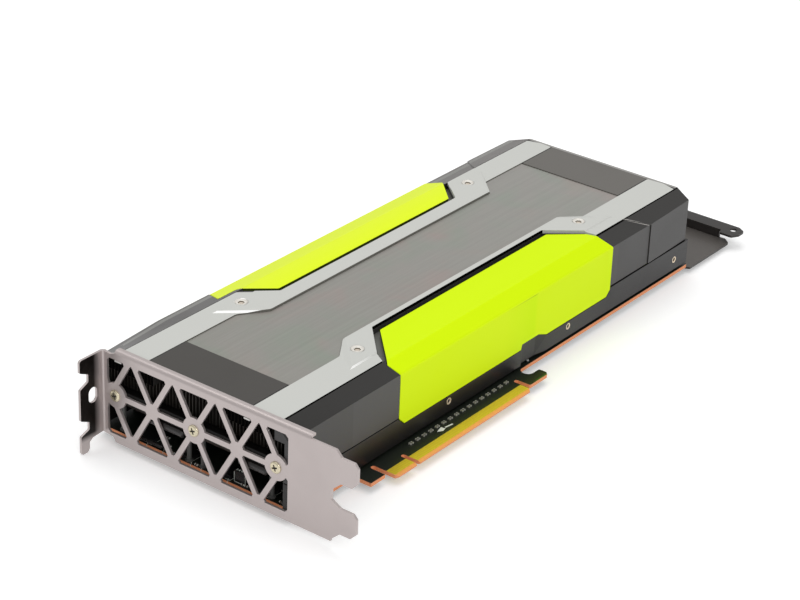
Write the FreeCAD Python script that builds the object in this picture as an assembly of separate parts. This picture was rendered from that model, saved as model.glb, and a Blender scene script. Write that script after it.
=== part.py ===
"""Passively cooled dual-slot accelerator card, lying on its back plate.

Card frame: X runs from the outer face of the input/output bracket to the tail,
Y from the lower edge of the edge connector up across the board, and Z from the
underside of the board to the cover. Millimetres throughout.
"""
import FreeCAD, Part
import math
import os

Vector = FreeCAD.Vector

# Board
BOARD_THICKNESS = 1.57
BOARD_FRONT_X = 4.0
BOARD_END_X = 266.9
BOARD_LOW_Y = 12.4
BOARD_HIGH_Y = 107.2
BOARD_CORNER = 1.0

# Edge connector tongue, with its key notch, guide lug and retention hook
TONGUE_OFFSET = 43.05
TONGUE_LENGTH = 85.2
KEY_OFFSET = 55.65
KEY_WIDTH = 1.9
KEY_DEPTH = 7.9
TONGUE_CHAMFER = 1.2
BEVEL_HEIGHT = 1.2
BEVEL_DEPTH = 0.45
GUIDE_SLOT_WIDTH = 2.1
GUIDE_SLOT_TOP_Y = 11.3
LUG_WIDTH = 8.3
LUG_LOW_Y = 4.1
HOOK_SLOT_TOP_Y = 8.9
HOOK_LOW_Y = 2.2
HOOK_ARM_TOP_Y = 7.0
HOOK_LENGTH = 12.9
HOOK_THROAT_RADIUS = 2.7
CONTACT_PITCH = 1.0
CONTACT_WIDTH = 0.7
CONTACT_LOW_Y = 1.25
CONTACT_LENGTH = 3.7
CONTACT_THICKNESS = 0.05
CONTACTS_BEFORE_KEY = 11
CONTACTS_AFTER_KEY = 71
COUPLING_PAIR_COUNT = 16
COUPLING_FIRST_X = 68.4
COUPLING_PITCH = 4.07
COUPLING_Y = 10.2

# Bracket of folded steel
BRACKET_THICKNESS = 1.0
BRACKET_BOTTOM_Z = -0.4
BRACKET_TOP_Z = 37.1
BRACKET_FOLD_Y = 102.05
BRACKET_TIP_Y = -18.0
BRACKET_BEND = 0.8
SLOT_PITCH = 20.32
FINGER_WIDTH = 10.4
FINGER_LOWER_Z = 9.15
FINGER_ROOT_Y = -10.7
TAB_REACH = 12.1
TAB_BOTTOM_Z = -2.9
TAB_TOP_Z = 36.5
TAB_NECK = 4.3
TAB_NOTCH_WIDTH = 3.1
TAB_SLOT_WIDTH = 4.4
TAB_SLOT_LENGTH = 6.4
TAB_SLOT_X = -5.6
TAB_SLOT_Z = 20.0
LIP_TOP_Z = 38.2
LIP_REACH = 3.0
LIP_LOW_Y = 3.1
LIP_HIGH_Y = 95.4

# Triangular lattice window of the bracket
LATTICE_PITCH = 20.32
LATTICE_BAR = 2.2
LATTICE_CENTRE_Y = 56.8
LATTICE_CENTRE_Z = 19.5
WINDOW_LOW_Y = 12.9
WINDOW_HIGH_Y = 99.1
WINDOW_LOW_Z = 2.5
WINDOW_HIGH_Z = 34.5
WINDOW_CORNER = 1.2
BOSS_RADIUS = 5.2
BRACKET_SCREW_PITCH = 38.4

# Screws
SCREW_HEAD_RADIUS = 2.35
SCREW_HEAD_HEIGHT = 1.3
SCREW_SHANK_RADIUS = 1.25
SCREW_CLEARANCE = 0.15
THREAD_CLEARANCE = 0.05
RECESS_WIDTH = 0.7
RECESS_LENGTH = 2.6
RECESS_DEPTH = 0.8
THREAD_SIDES = 8
HEAD_SIDES = 18
RAIL_SCREW_REACH = 4.0
RAIL_SOCKET_RADIUS = 0.9
RAIL_SOCKET_DEPTH = 0.7

# Shroud and its sides
SHROUD_TOP_Z = 36.4
CREASE_Z = 32.0
SEAM_Z = 13.4
SIDE_LOW_Y = 12.6
SIDE_HIGH_Y = 107.2
RAIL_LOW_Y = 19.4
RAIL_HIGH_Y = 95.0
SHROUD_END_X = 264.3
SHROUD_WALL = 2.8
SHROUD_ROOF = 1.4
SEAT_DEPTH = 1.0
FRONT_TAPER_X = 36.0
REAR_TAPER_X = 234.0
FRONT_TAPER = 1.0
FRONT_DROP = 1.2
REAR_TAPER = 0.6
REAR_BLOCK_TOP_X = 222.0
REAR_BLOCK_STEP = 0.4
REAR_BLOCK_GAP = 0.5

# Inlays on top
INLAY_THICKNESS = 1.0
INLAY_GAP = 0.15
RAIL_INNER_LOW_Y = 33.3
RAIL_INNER_HIGH_Y = 83.2
RAIL_NARROW_LOW_Y = 40.3
RAIL_NARROW_HIGH_Y = 75.6
RAIL_WAIST_LOW_Y = 38.0
RAIL_WAIST_HIGH_Y = 82.7
FRONT_PLATE_END_X = 25.0
REAR_PLATE_START_X = 240.4
PANEL_SINK = 0.4
RAIL_RISE = 0.5
RAIL_RAMP = 1.9
RAISED_FRONT_X = 48.0
RAISED_REAR_X = 221.0
RAISED_INSET = 4.6
RAISED_SLANT = 12.8
RAIL_SCREW_FRONT_X = 61.7
RAIL_SCREW_REAR_X = 207.4
RAIL_SCREW_LOW_Y = 31.6
RAIL_SCREW_HIGH_Y = 87.9

# Side covers
COVER_TOP_Z = 36.0
COVER_BOTTOM_Z = 10.2
COVER_STEP_Z = 12.4
COVER_FRONT_X = 63.6
COVER_REAR_X = 205.2
COVER_TOP_FRONT_X = 80.0
COVER_TOP_REAR_X = 190.0
COVER_STEP_START_X = 142.0
COVER_STEP_END_X = 154.0
COVER_THICKNESS = 1.6
COVER_GAP = 0.3
GROOVE_WIDTH = 2.7
GROOVE_DEPTH = 3.4
SIDE_STEP_Z = 30.0

# Base plate
BASE_WALL = 3.2
BASE_FOOT_Z = 2.8
BASE_FLOOR_Z = 7.0
BASE_FLOOR_THICKNESS = 2.0
BASE_FRONT_X = 14.0
BASE_END_X = 266.0
BASE_RIB = 3.0
BASE_POST_WIDTH = 6.0
POCKET_START_X = 142.4
POCKET_END_X = 153.0
POCKET_SLOPE_END_X = 159.6
POCKET_DEPTH = 1.2
INSERT_Z = 7.5
INSERT_RADIUS = 1.45
INSERT_BORE = 0.75
INSERT_LENGTH = 2.6
INSERT_FIRST_X = 94.9
INSERT_PITCH = 80.4

# Cooler
CHAMBER_THICKNESS = 3.0
CHAMBER_FRONT_X = 4.9
CHAMBER_END_X = 260.6
FIN_PITCH = 1.6
FIN_THICKNESS = 0.35
FIN_FLANGE = 1.2
FIN_ROOF_GAP = 0.2
CROSSBAR_DEPTH = 3.6
CROSSBAR_HEIGHT = 5.0

# Processor and what stands round it
GPU_X = 118.0
GPU_Y = 58.0
PACKAGE_SIZE = 55.0
PACKAGE_THICKNESS = 1.7
DIE_LENGTH = 26.0
DIE_WIDTH = 24.0
DIE_THICKNESS = 0.8
STACK_LENGTH = 11.0
STACK_WIDTH = 8.0
PEDESTAL_SIZE = 46.0
SINK_POST_WIDTH = 6.0
SINK_POST_GAP = 0.5
SINK_POST_SPREAD = PACKAGE_SIZE / 2 + SINK_POST_GAP + SINK_POST_WIDTH / 2
SINK_WINDOW_MARGIN = 3.6
CHOKE_LENGTH = 9.0
CHOKE_WIDTH = 8.0
CHOKE_HEIGHT = 4.9
CHOKE_PITCH = 10.0
CHOKE_COUNT = 7
CHOKE_FIRST_X = 169.0
CHOKE_SECOND_X = 193.0
CHOKE_FIRST_Y = 28.0
MOSFET_LENGTH = 5.0
MOSFET_WIDTH = 6.0
MOSFET_HEIGHT = 1.0
MOSFET_X = 181.0
PAD_THICKNESS = 0.5
CAPACITOR_LENGTH = 7.3
CAPACITOR_WIDTH = 4.3
CAPACITOR_HEIGHT = 2.8
CAPACITOR_X = 216.0
FRONT_CHIP_X = 8.5
FRONT_CHIP_SIZE = 6.0
FRONT_CHIP_HEIGHT = 1.4
FRONT_CHIP_PITCH = 19.0
FRONT_CHIP_COUNT = 4
CONTROLLER_X = 45.0
CONTROLLER_SIZE = 9.0
CONTROLLER_HEIGHT = 1.2
CONTROLLER_SPREAD = 18.0

# Power socket at the tail
SOCKET_LOW_Y = 74.0
SOCKET_WIDTH = 19.0
SOCKET_DEPTH = 13.0
SOCKET_HEIGHT = 9.8
SOCKET_CELL = 3.4
SOCKET_PITCH = 4.2
PIN_WIDTH = 1.1

# Back plate and tail extender
FILM_THICKNESS = 0.2
BACK_PLATE_THICKNESS = 1.0
BACK_PLATE_MARGIN = 1.6
BACK_PLATE_CORNER = 2.0
BACK_PLATE_END_X = 236.0
EXTENDER_START_X = 237.0
EXTENDER_PLATE_END_X = 302.2
EXTENDER_END_X = 308.3
EXTENDER_LOW_Y = 11.2
EXTENDER_HIGH_Y = 104.0
EXTENDER_FLANGE_Z = 4.2
EXTENDER_WALL_LOW_Y = 17.0
EXTENDER_TIP_LOW_Y = 7.6
EXTENDER_TIP_HIGH_Y = 15.4
EXTENDER_TIP_BACK = 3.7
EXTENDER_HOLE_RADIUS = 1.6
EXTENDER_HOLE_Y = 12.0
BACK_SCREW_HEAD_RADIUS = 2.2
BACK_SCREW_HEAD_HEIGHT = 0.9
BACK_SCREW_REACH = 6.0
BACK_SCREW_COLUMNS = 3
BACK_SCREW_FIRST_X = 22.0
BACK_SCREW_LAST_X = 254.0
BACK_SCREW_INSET = 6.0

OUT_DIR = "parts"

ORIGIN = Vector(
    (EXTENDER_END_X - TAB_REACH) / 2,
    (SIDE_HIGH_Y + BRACKET_TIP_Y) / 2,
    TAB_BOTTOM_Z,
)


def on_x(u, v, level):
    """Point of a section drawn in the Y-Z plane."""
    return Vector(level, u, v)


def on_y(u, v, level):
    """Point of a section drawn in the X-Z plane."""
    return Vector(u, level, v)


def on_z(u, v, level):
    """Point of a section drawn in the X-Y plane."""
    return Vector(u, v, level)


NORMALS = {on_x: Vector(1, 0, 0), on_y: Vector(0, 1, 0), on_z: Vector(0, 0, 1)}


def rounded_wire(points, radii, plane, level):
    """Closed wire through points, with each corner rounded by its radius."""
    corners = []
    count = len(points)
    for index, (u, v) in enumerate(points):
        here = plane(u, v, level)
        before = plane(*points[index - 1], level)
        after = plane(*points[(index + 1) % count], level)
        back = (before - here).normalize()
        ahead = (after - here).normalize()
        half = back.getAngle(ahead) / 2
        radius = radii[index] if isinstance(radii, (list, tuple)) else radii
        room = 0.49 * min((before - here).Length, (after - here).Length)
        reach = min(radius / math.tan(half), room) if radius > 0 else 0.0
        radius = reach * math.tan(half)
        start = here + back * reach
        end = here + ahead * reach
        middle = None
        if reach > 0:
            towards = (back + ahead).normalize()
            middle = here + towards * (radius / math.sin(half) - radius)
        corners.append((start, middle, end))
    edges = []
    for index, (start, middle, end) in enumerate(corners):
        if middle is not None:
            edges.append(Part.Arc(start, middle, end).toShape())
        following = corners[(index + 1) % count][0]
        if (following - end).Length > 1e-6:
            edges.append(Part.LineSegment(end, following).toShape())
    return Part.Wire(edges)


def prism(points, plane, start, length, radii=0.0):
    """Straight solid over a rounded outline."""
    face = Part.Face(rounded_wire(points, radii, plane, start))
    return face.extrude(NORMALS[plane] * length)


def box(low, high):
    """Block between two opposite corners."""
    size = [b - a for a, b in zip(low, high)]
    return Part.makeBox(*size, Vector(*low))


def rectangle(low_u, low_v, high_u, high_v):
    """Corner points of an upright rectangle."""
    return [(low_u, low_v), (high_u, low_v), (high_u, high_v), (low_u, high_v)]


def cylinder(radius, height, base, direction=Vector(0, 0, 1)):
    """Round bar from a base point along a direction."""
    return Part.makeCylinder(radius, height, Vector(*base), direction)


def faceted_ring(radius, height, sides):
    """Closed ring of flats at a height, for the small rounds that repeat."""
    corners = []
    for turn in range(sides + 1):
        angle = 2 * math.pi * (turn % sides) / sides
        corners.append(Vector(radius * math.cos(angle), radius * math.sin(angle), height))
    return Part.makePolygon(corners)


def faceted_bar(radius, height, base, direction=Vector(0, 0, 1), sides=HEAD_SIDES):
    """Small round bar or bore, drawn with flats."""
    bar = Part.Face(faceted_ring(radius, 0, sides)).extrude(Vector(0, 0, height))
    bar.Placement = FreeCAD.Placement(Vector(*base), FreeCAD.Rotation(Vector(0, 0, 1), direction))
    return bar


def threaded_bar(radius, height, base, direction=Vector(0, 0, 1)):
    """Bar or bore of a screw's thread."""
    return faceted_bar(radius, height, base, direction, THREAD_SIDES)


def countersink(radius, depth, base):
    """Small cone that widens upwards at 45 degrees, as a flat head and its seat do."""
    rings = [
        faceted_ring(radius, 0, HEAD_SIDES),
        faceted_ring(radius + depth, depth, HEAD_SIDES),
    ]
    cone = Part.makeLoft(rings, True, True)
    cone.translate(Vector(*base))
    return cone


def cut_corners(points, reach):
    """Outline whose corners are cut off straight, a reach away from each point."""
    made = []
    count = len(points)
    for index, (u, v) in enumerate(points):
        for other in (points[index - 1], points[(index + 1) % count]):
            length = math.hypot(other[0] - u, other[1] - v)
            share = min(reach / length, 0.45)
            made.append((u + share * (other[0] - u), v + share * (other[1] - v)))
    return made


def fuse_all(shapes):
    """One solid out of touching or crossing shapes."""
    return shapes[0].multiFuse(shapes[1:]).removeSplitter()


def cut_all(shape, tools):
    """Shape with every tool taken away."""
    return shape.cut(Part.makeCompound(tools))


def tongue_ends():
    """Both ends of the edge connector along X."""
    start = BOARD_FRONT_X + TONGUE_OFFSET
    return start, start + TONGUE_LENGTH


def back_screw_places():
    """Places of the screws that hold the base plate through the board."""
    step = (BACK_SCREW_LAST_X - BACK_SCREW_FIRST_X) / (BACK_SCREW_COLUMNS - 1)
    rows = (SIDE_LOW_Y + BACK_SCREW_INSET, SIDE_HIGH_Y - BACK_SCREW_INSET)
    return [
        (BACK_SCREW_FIRST_X + column * step, y)
        for column in range(BACK_SCREW_COLUMNS)
        for y in rows
    ]


def sink_screw_places():
    """Places of the spring screws round the processor."""
    return [
        (GPU_X + sx * SINK_POST_SPREAD, GPU_Y + sy * SINK_POST_SPREAD)
        for sx in (-1, 1)
        for sy in (-1, 1)
    ]


def bracket_screw_places():
    """Heights and places of the three bracket screws, as Y values."""
    return [LATTICE_CENTRE_Y + step * BRACKET_SCREW_PITCH for step in (-1, 0, 1)]


def insert_places():
    """Places of the threaded inserts along one side."""
    return [INSERT_FIRST_X + step * INSERT_PITCH for step in range(3)]


def board_outline():
    """Outline of the board, with the corner radius of every point."""
    start, end = tongue_ends()
    slot = GUIDE_SLOT_WIDTH
    slot_round = 0.48 * slot
    hook_start = end + slot
    hook_end = hook_start + HOOK_LENGTH
    throat_x = hook_end - HOOK_THROAT_RADIUS - 4.0
    lug_end = start - slot
    return [
        (BOARD_FRONT_X, BOARD_LOW_Y, BOARD_CORNER),
        (lug_end - LUG_WIDTH, BOARD_LOW_Y, 0),
        (lug_end - LUG_WIDTH, LUG_LOW_Y, 0),
        (lug_end, LUG_LOW_Y, 0),
        (lug_end, GUIDE_SLOT_TOP_Y, slot_round),
        (start, GUIDE_SLOT_TOP_Y, slot_round),
        (start, TONGUE_CHAMFER, 0),
        (start + TONGUE_CHAMFER, 0, 0),
        (end - TONGUE_CHAMFER, 0, 0),
        (end, TONGUE_CHAMFER, 0),
        (end, HOOK_SLOT_TOP_Y, slot_round),
        (hook_start, HOOK_SLOT_TOP_Y, slot_round),
        (hook_start, HOOK_LOW_Y, 0.6),
        (hook_end - 1.3, HOOK_LOW_Y, 0.4),
        (hook_end, HOOK_LOW_Y + 1.3, 0.5),
        (hook_end, HOOK_ARM_TOP_Y, 0.8),
        (throat_x, HOOK_ARM_TOP_Y, 0.98 * HOOK_THROAT_RADIUS),
        (throat_x, BOARD_LOW_Y, 0.98 * HOOK_THROAT_RADIUS),
        (BOARD_END_X, BOARD_LOW_Y, BOARD_CORNER),
        (BOARD_END_X, BOARD_HIGH_Y, BOARD_CORNER),
        (BOARD_FRONT_X, BOARD_HIGH_Y, BOARD_CORNER),
    ]


def make_board():
    """Printed board with its edge connector tongue and screw holes."""
    outline = board_outline()
    points = [(x, y) for x, y, _ in outline]
    radii = [radius for _, _, radius in outline]
    body = prism(points, on_z, 0, BOARD_THICKNESS, radii)
    start, end = tongue_ends()
    key_x = BOARD_FRONT_X + KEY_OFFSET
    half = KEY_WIDTH / 2
    key = rectangle(key_x - half, -1, key_x + half, KEY_DEPTH)
    tools = [prism(key, on_z, -1, BOARD_THICKNESS + 2, [0, 0, 0.98 * half, 0.98 * half])]
    for surface, inward in ((0, 1), (BOARD_THICKNESS, -1)):
        wedge = [
            (-0.1, surface - inward * 0.1),
            (BEVEL_HEIGHT, surface - inward * 0.1),
            (BEVEL_HEIGHT, surface),
            (0, surface + inward * BEVEL_DEPTH),
            (-0.1, surface + inward * BEVEL_DEPTH),
        ]
        tools.append(prism(wedge, on_x, start - 0.1, end - start + 0.2))
    tools += screw_holes(back_screw_places() + sink_screw_places(), -1, BOARD_THICKNESS + 2)
    return cut_all(body, tools)


def make_edge_contacts():
    """Gold contacts on both faces of the tongue."""
    key_x = BOARD_FRONT_X + KEY_OFFSET
    key_gap = 1.5 * CONTACT_PITCH
    centres = [key_x - key_gap - step * CONTACT_PITCH for step in range(CONTACTS_BEFORE_KEY)]
    centres += [key_x + key_gap + step * CONTACT_PITCH for step in range(CONTACTS_AFTER_KEY)]
    pads = []
    for centre in centres:
        for low_z in (-CONTACT_THICKNESS, BOARD_THICKNESS):
            low = (centre - CONTACT_WIDTH / 2, CONTACT_LOW_Y, low_z)
            high = (
                centre + CONTACT_WIDTH / 2,
                CONTACT_LOW_Y + CONTACT_LENGTH,
                low_z + CONTACT_THICKNESS,
            )
            pads.append(box(low, high))
    return Part.makeCompound(pads)


def make_coupling_capacitors():
    """Pairs of small chip capacitors in a row above the contacts."""
    chips = []
    for step in range(COUPLING_PAIR_COUNT):
        centre = COUPLING_FIRST_X + step * COUPLING_PITCH
        for shift in (-0.6, 0.6):
            low = (centre + shift - 0.3, COUPLING_Y - 0.55, BOARD_THICKNESS)
            high = (centre + shift + 0.3, COUPLING_Y + 0.55, BOARD_THICKNESS + 0.5)
            chips.append(box(low, high))
    return Part.makeCompound(chips)


def finger(centre_z):
    """Tongue at the foot of the bracket that enters the chassis slot."""
    half = FINGER_WIDTH / 2
    tip = BRACKET_TIP_Y
    outline = [
        (FINGER_ROOT_Y + 4.0, centre_z + half + 2.2),
        (FINGER_ROOT_Y, centre_z + half),
        (tip + 1.7, centre_z + half),
        (tip, centre_z + half - 1.7),
        (tip, centre_z - half + 2.7),
        (tip + 2.6, centre_z - half),
        (FINGER_ROOT_Y, centre_z - half),
        (FINGER_ROOT_Y + 4.0, centre_z - half - 3.6),
    ]
    return prism(outline, on_x, 0, BRACKET_THICKNESS, [0, 1.0, 0.8, 0.8, 0.8, 0.8, 1.0, 0])


def clip_outline(points, low_u, low_v, high_u, high_v):
    """Convex outline cut back to a rectangle."""
    limits = (
        (0, low_u, 1),
        (0, high_u, -1),
        (1, low_v, 1),
        (1, high_v, -1),
    )
    for axis, limit, sign in limits:
        kept = []
        for index, here in enumerate(points):
            before = points[index - 1]
            inside = (here[axis] - limit) * sign >= 0
            was_inside = (before[axis] - limit) * sign >= 0
            if inside != was_inside:
                share = (limit - before[axis]) / (here[axis] - before[axis])
                kept.append(tuple(b + share * (h - b) for b, h in zip(before, here)))
            if inside:
                kept.append(here)
        points = kept
    return points


def lattice_windows():
    """Outlines of the triangular openings, clipped to the window's frame."""
    row_height = LATTICE_PITCH * math.sqrt(3) / 2
    reach = 2 * (row_height / 3 - LATTICE_BAR / 2)
    openings = []
    for row in (1, -1):
        for step in range(-4, 5):
            centre_y = LATTICE_CENTRE_Y + step * LATTICE_PITCH / 2
            on_middle = step % 2 == 0
            side = -row if on_middle else row
            share = 2 / 3 if on_middle else 1 / 3
            centre_z = LATTICE_CENTRE_Z + row * row_height * share
            corners = [
                (
                    centre_y + reach * math.sin(turn * 2 * math.pi / 3),
                    centre_z + side * reach * math.cos(turn * 2 * math.pi / 3),
                )
                for turn in range(3)
            ]
            openings.append(
                clip_outline(corners, WINDOW_LOW_Y, WINDOW_LOW_Z, WINDOW_HIGH_Y, WINDOW_HIGH_Z)
            )
    return openings


def squared_off(outline):
    """Opening at the window's low end, carried on to the frame's upright edge."""
    if min(u for u, _ in outline) > WINDOW_LOW_Y + 0.01:
        return outline
    at_frame = [point for point in outline if point[0] < WINDOW_LOW_Y + 0.01]
    nearest = min(outline, key=lambda point: abs(point[1] - LATTICE_CENTRE_Z))
    slanted = min(at_frame, key=lambda point: abs(point[1] - LATTICE_CENTRE_Z))
    return [(WINDOW_LOW_Y, nearest[1]) if point == slanted else point for point in outline]


def make_bracket_face():
    """Flat face of the bracket with its fingers and lattice window."""
    body_end = FINGER_ROOT_Y + 4.0
    face = [
        (body_end, BRACKET_BOTTOM_Z),
        (LIP_HIGH_Y, BRACKET_BOTTOM_Z),
        (LIP_HIGH_Y + 1.3, BRACKET_BOTTOM_Z + 2.0),
        (BRACKET_FOLD_Y - BRACKET_BEND, BRACKET_BOTTOM_Z + 2.4),
        (BRACKET_FOLD_Y - BRACKET_BEND, TAB_TOP_Z),
        (LIP_HIGH_Y + 2.0, BRACKET_TOP_Z - 1.0),
        (LIP_HIGH_Y, BRACKET_TOP_Z),
        (body_end, BRACKET_TOP_Z),
    ]
    pieces = [prism(face, on_x, 0, BRACKET_THICKNESS, [0, 0.4, 0.6, 0, 0, 0.4, 0, 0])]
    upper_z = FINGER_LOWER_Z + SLOT_PITCH
    pieces.append(finger(FINGER_LOWER_Z))
    pieces.append(finger(upper_z))
    shoulder = [
        (body_end, BRACKET_TOP_Z),
        (BRACKET_TIP_Y + 9.7, BRACKET_TOP_Z),
        (FINGER_ROOT_Y, upper_z + FINGER_WIDTH / 2),
        (body_end, upper_z + FINGER_WIDTH / 2),
    ]
    pieces.append(prism(shoulder, on_x, 0, BRACKET_THICKNESS))
    plate = fuse_all(pieces)
    tools = []
    for outline in lattice_windows():
        opening = cut_corners(squared_off(outline), WINDOW_CORNER)
        tools.append(prism(opening, on_x, -1, BRACKET_THICKNESS + 2))
    plate = cut_all(plate, tools)
    bosses = [
        cylinder(BOSS_RADIUS, BRACKET_THICKNESS, (0, y, LATTICE_CENTRE_Z), Vector(1, 0, 0))
        for y in bracket_screw_places()
    ]
    plate = fuse_all([plate] + bosses)
    radius = SCREW_SHANK_RADIUS + SCREW_CLEARANCE
    holes = [
        threaded_bar(radius, BRACKET_THICKNESS + 2, (-1, y, LATTICE_CENTRE_Z), Vector(1, 0, 0))
        for y in bracket_screw_places()
    ]
    return cut_all(plate, holes)


def make_bracket_tab():
    """Tab folded outwards from the bracket, with its screw slot."""
    inner_y = BRACKET_FOLD_Y - BRACKET_THICKNESS
    notch = TAB_NOTCH_WIDTH
    upper_notch_z = FINGER_LOWER_Z + SLOT_PITCH - notch
    lower_notch_z = upper_notch_z - SLOT_PITCH + 0.3
    outline = [
        (-BRACKET_BEND, TAB_TOP_Z),
        (-TAB_REACH, TAB_TOP_Z),
        (-TAB_REACH, upper_notch_z + notch + 2.0),
        (-TAB_REACH + TAB_NECK, upper_notch_z + notch / 2 + 1.6),
        (-TAB_REACH + TAB_NECK, upper_notch_z + notch / 2 - 1.6),
        (-TAB_REACH, upper_notch_z - 2.0),
        (-TAB_REACH, lower_notch_z + notch + 2.0),
        (-TAB_REACH + TAB_NECK, lower_notch_z + notch / 2 + 1.6),
        (-TAB_REACH + TAB_NECK, lower_notch_z + notch / 2 - 1.6),
        (-TAB_REACH, lower_notch_z - 1.6),
        (-TAB_REACH, TAB_BOTTOM_Z),
        (-TAB_REACH + 3.2, TAB_BOTTOM_Z),
        (-TAB_REACH + TAB_NECK, TAB_BOTTOM_Z + 1.2),
        (-TAB_REACH + TAB_NECK, 1.1),
        (-TAB_REACH + 6.2, BRACKET_BOTTOM_Z + 2.6),
        (-BRACKET_BEND, BRACKET_BOTTOM_Z + 3.0),
    ]
    radii = [0, 1.2, 0.8, 0.5, 0.5, 0.8, 0.8, 0.5, 0.5, 0.8, 1.2, 0.8, 0.6, 0.8, 0.8, 0]
    tab = prism(outline, on_y, inner_y, BRACKET_THICKNESS, radii)
    half_width = TAB_SLOT_WIDTH / 2
    half_length = TAB_SLOT_LENGTH / 2
    slot = rectangle(
        TAB_SLOT_X - half_width,
        TAB_SLOT_Z - half_length,
        TAB_SLOT_X + half_width,
        TAB_SLOT_Z + half_length,
    )
    tool = prism(slot, on_y, inner_y - 1, BRACKET_THICKNESS + 2, 0.98 * half_width)
    return tab.cut(tool)


def fold(low, high, centre, plane, quarter):
    """Quarter-round sheet corner between two flat stretches of the bracket.

    The centre of the bend is given in the plane of the section, and quarter
    holds the directions from that centre to both ends of the outer arc.
    """
    inner = BRACKET_BEND
    outer = inner + BRACKET_THICKNESS
    middle = tuple((a + b) / math.sqrt(2) for a, b in zip(*quarter))

    def at(radius, direction):
        return plane(centre[0] + radius * direction[0], centre[1] + radius * direction[1], low)

    first, last = quarter
    edges = [
        Part.Arc(at(outer, first), at(outer, middle), at(outer, last)).toShape(),
        Part.LineSegment(at(outer, last), at(inner, last)).toShape(),
        Part.Arc(at(inner, last), at(inner, middle), at(inner, first)).toShape(),
        Part.LineSegment(at(inner, first), at(outer, first)).toShape(),
    ]
    return Part.Face(Part.Wire(edges)).extrude(NORMALS[plane] * (high - low))


def make_bracket():
    """Whole bracket: face, folded tab and folded top lip."""
    face = make_bracket_face()
    tab = make_bracket_tab()
    inner = BRACKET_BEND
    tab_bend = fold(
        BRACKET_BOTTOM_Z + 3.0,
        TAB_TOP_Z,
        (-inner, BRACKET_FOLD_Y - BRACKET_THICKNESS - inner),
        on_z,
        ((1, 0), (0, 1)),
    )
    lip_bend = fold(
        LIP_LOW_Y,
        LIP_HIGH_Y,
        (BRACKET_THICKNESS + inner, LIP_TOP_Z - BRACKET_THICKNESS - inner),
        on_y,
        ((-1, 0), (0, 1)),
    )
    lip = box(
        (BRACKET_THICKNESS + inner, LIP_LOW_Y, LIP_TOP_Z - BRACKET_THICKNESS),
        (LIP_REACH, LIP_HIGH_Y, LIP_TOP_Z),
    )
    lip_top = LIP_TOP_Z - BRACKET_THICKNESS - inner
    upright = box((0, LIP_LOW_Y, lip_top - 1.0), (BRACKET_THICKNESS, LIP_HIGH_Y, lip_top))
    clear = box(
        (-1, LIP_LOW_Y, lip_top),
        (BRACKET_THICKNESS + 1, LIP_HIGH_Y, BRACKET_TOP_Z + 1),
    )
    face = face.cut(clear)
    return fuse_all([face, upright, tab, tab_bend, lip_bend, lip])


def plain_screw(head_radius, head_height, shank_radius, shank_length):
    """Screw with its seat at the origin and its shank along -Z."""
    head = faceted_bar(head_radius, head_height, (0, 0, 0))
    return head.fuse(threaded_bar(shank_radius, shank_length, (0, 0, -shank_length)))


def crossed_screw(head_radius, head_height, shank_radius, shank_length):
    """Screw with a cross recess in its head."""
    half = RECESS_WIDTH / 2
    reach = RECESS_LENGTH / 2
    low = head_height - min(RECESS_DEPTH, 0.7 * head_height)
    bars = [
        box((-reach, -half, low), (reach, half, head_height + 1)),
        box((-half, -reach, low), (half, reach, head_height + 1)),
    ]
    return cut_all(plain_screw(head_radius, head_height, shank_radius, shank_length), bars)


def turned(shape, axis, angle, place):
    """Copy of a shape turned about an axis and moved to its place."""
    copy = shape.copy()
    copy.rotate(Vector(0, 0, 0), axis, angle)
    copy.translate(Vector(*place))
    return copy


def make_bracket_screws():
    """Three pan-head screws that hold the bracket to the crossbar."""
    reach = BRACKET_THICKNESS + CROSSBAR_DEPTH - 0.5
    model = crossed_screw(SCREW_HEAD_RADIUS, SCREW_HEAD_HEIGHT, SCREW_SHANK_RADIUS, reach)
    return Part.makeCompound([
        turned(model, Vector(0, 1, 0), -90, (0, y, LATTICE_CENTRE_Z))
        for y in bracket_screw_places()
    ])


def make_crossbar():
    """Bar behind the bracket that takes its screws and ties the shroud's sides."""
    half = CROSSBAR_HEIGHT / 2
    bar = box(
        (BRACKET_THICKNESS, SIDE_LOW_Y + SHROUD_WALL, LATTICE_CENTRE_Z - half),
        (
            BRACKET_THICKNESS + CROSSBAR_DEPTH,
            SIDE_HIGH_Y - SHROUD_WALL,
            LATTICE_CENTRE_Z + half,
        ),
    )
    radius = SCREW_SHANK_RADIUS + THREAD_CLEARANCE
    holes = [
        threaded_bar(radius, CROSSBAR_DEPTH + 2, (0, y, LATTICE_CENTRE_Z), Vector(1, 0, 0))
        for y in bracket_screw_places()
    ]
    return cut_all(bar, holes)


def shroud_section():
    """Outer section of the shroud in the Y-Z plane."""
    return [
        (SIDE_LOW_Y, SEAM_Z),
        (SIDE_HIGH_Y, SEAM_Z),
        (SIDE_HIGH_Y, CREASE_Z),
        (RAIL_HIGH_Y, SHROUD_TOP_Z),
        (RAIL_LOW_Y, SHROUD_TOP_Z),
        (SIDE_LOW_Y, CREASE_Z),
    ]


def duct_section():
    """Air duct inside the shroud: low along the sides and high in the middle."""
    low = SIDE_LOW_Y + SHROUD_WALL
    high = SIDE_HIGH_Y - SHROUD_WALL
    side_top = duct_side_top()
    centre_top = SHROUD_TOP_Z - SEAT_DEPTH - SHROUD_ROOF
    shoulder = SHROUD_WALL + GROOVE_WIDTH
    return [
        (low, SEAM_Z - 1),
        (high, SEAM_Z - 1),
        (high, side_top),
        (RAIL_WAIST_HIGH_Y - shoulder, side_top),
        (RAIL_WAIST_HIGH_Y - shoulder, centre_top),
        (RAIL_WAIST_LOW_Y + shoulder, centre_top),
        (RAIL_WAIST_LOW_Y + shoulder, side_top),
        (low, side_top),
    ]


def duct_side_top():
    """Height of the duct's roof along both sides."""
    return CREASE_Z - COVER_THICKNESS - COVER_GAP - 0.4


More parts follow.
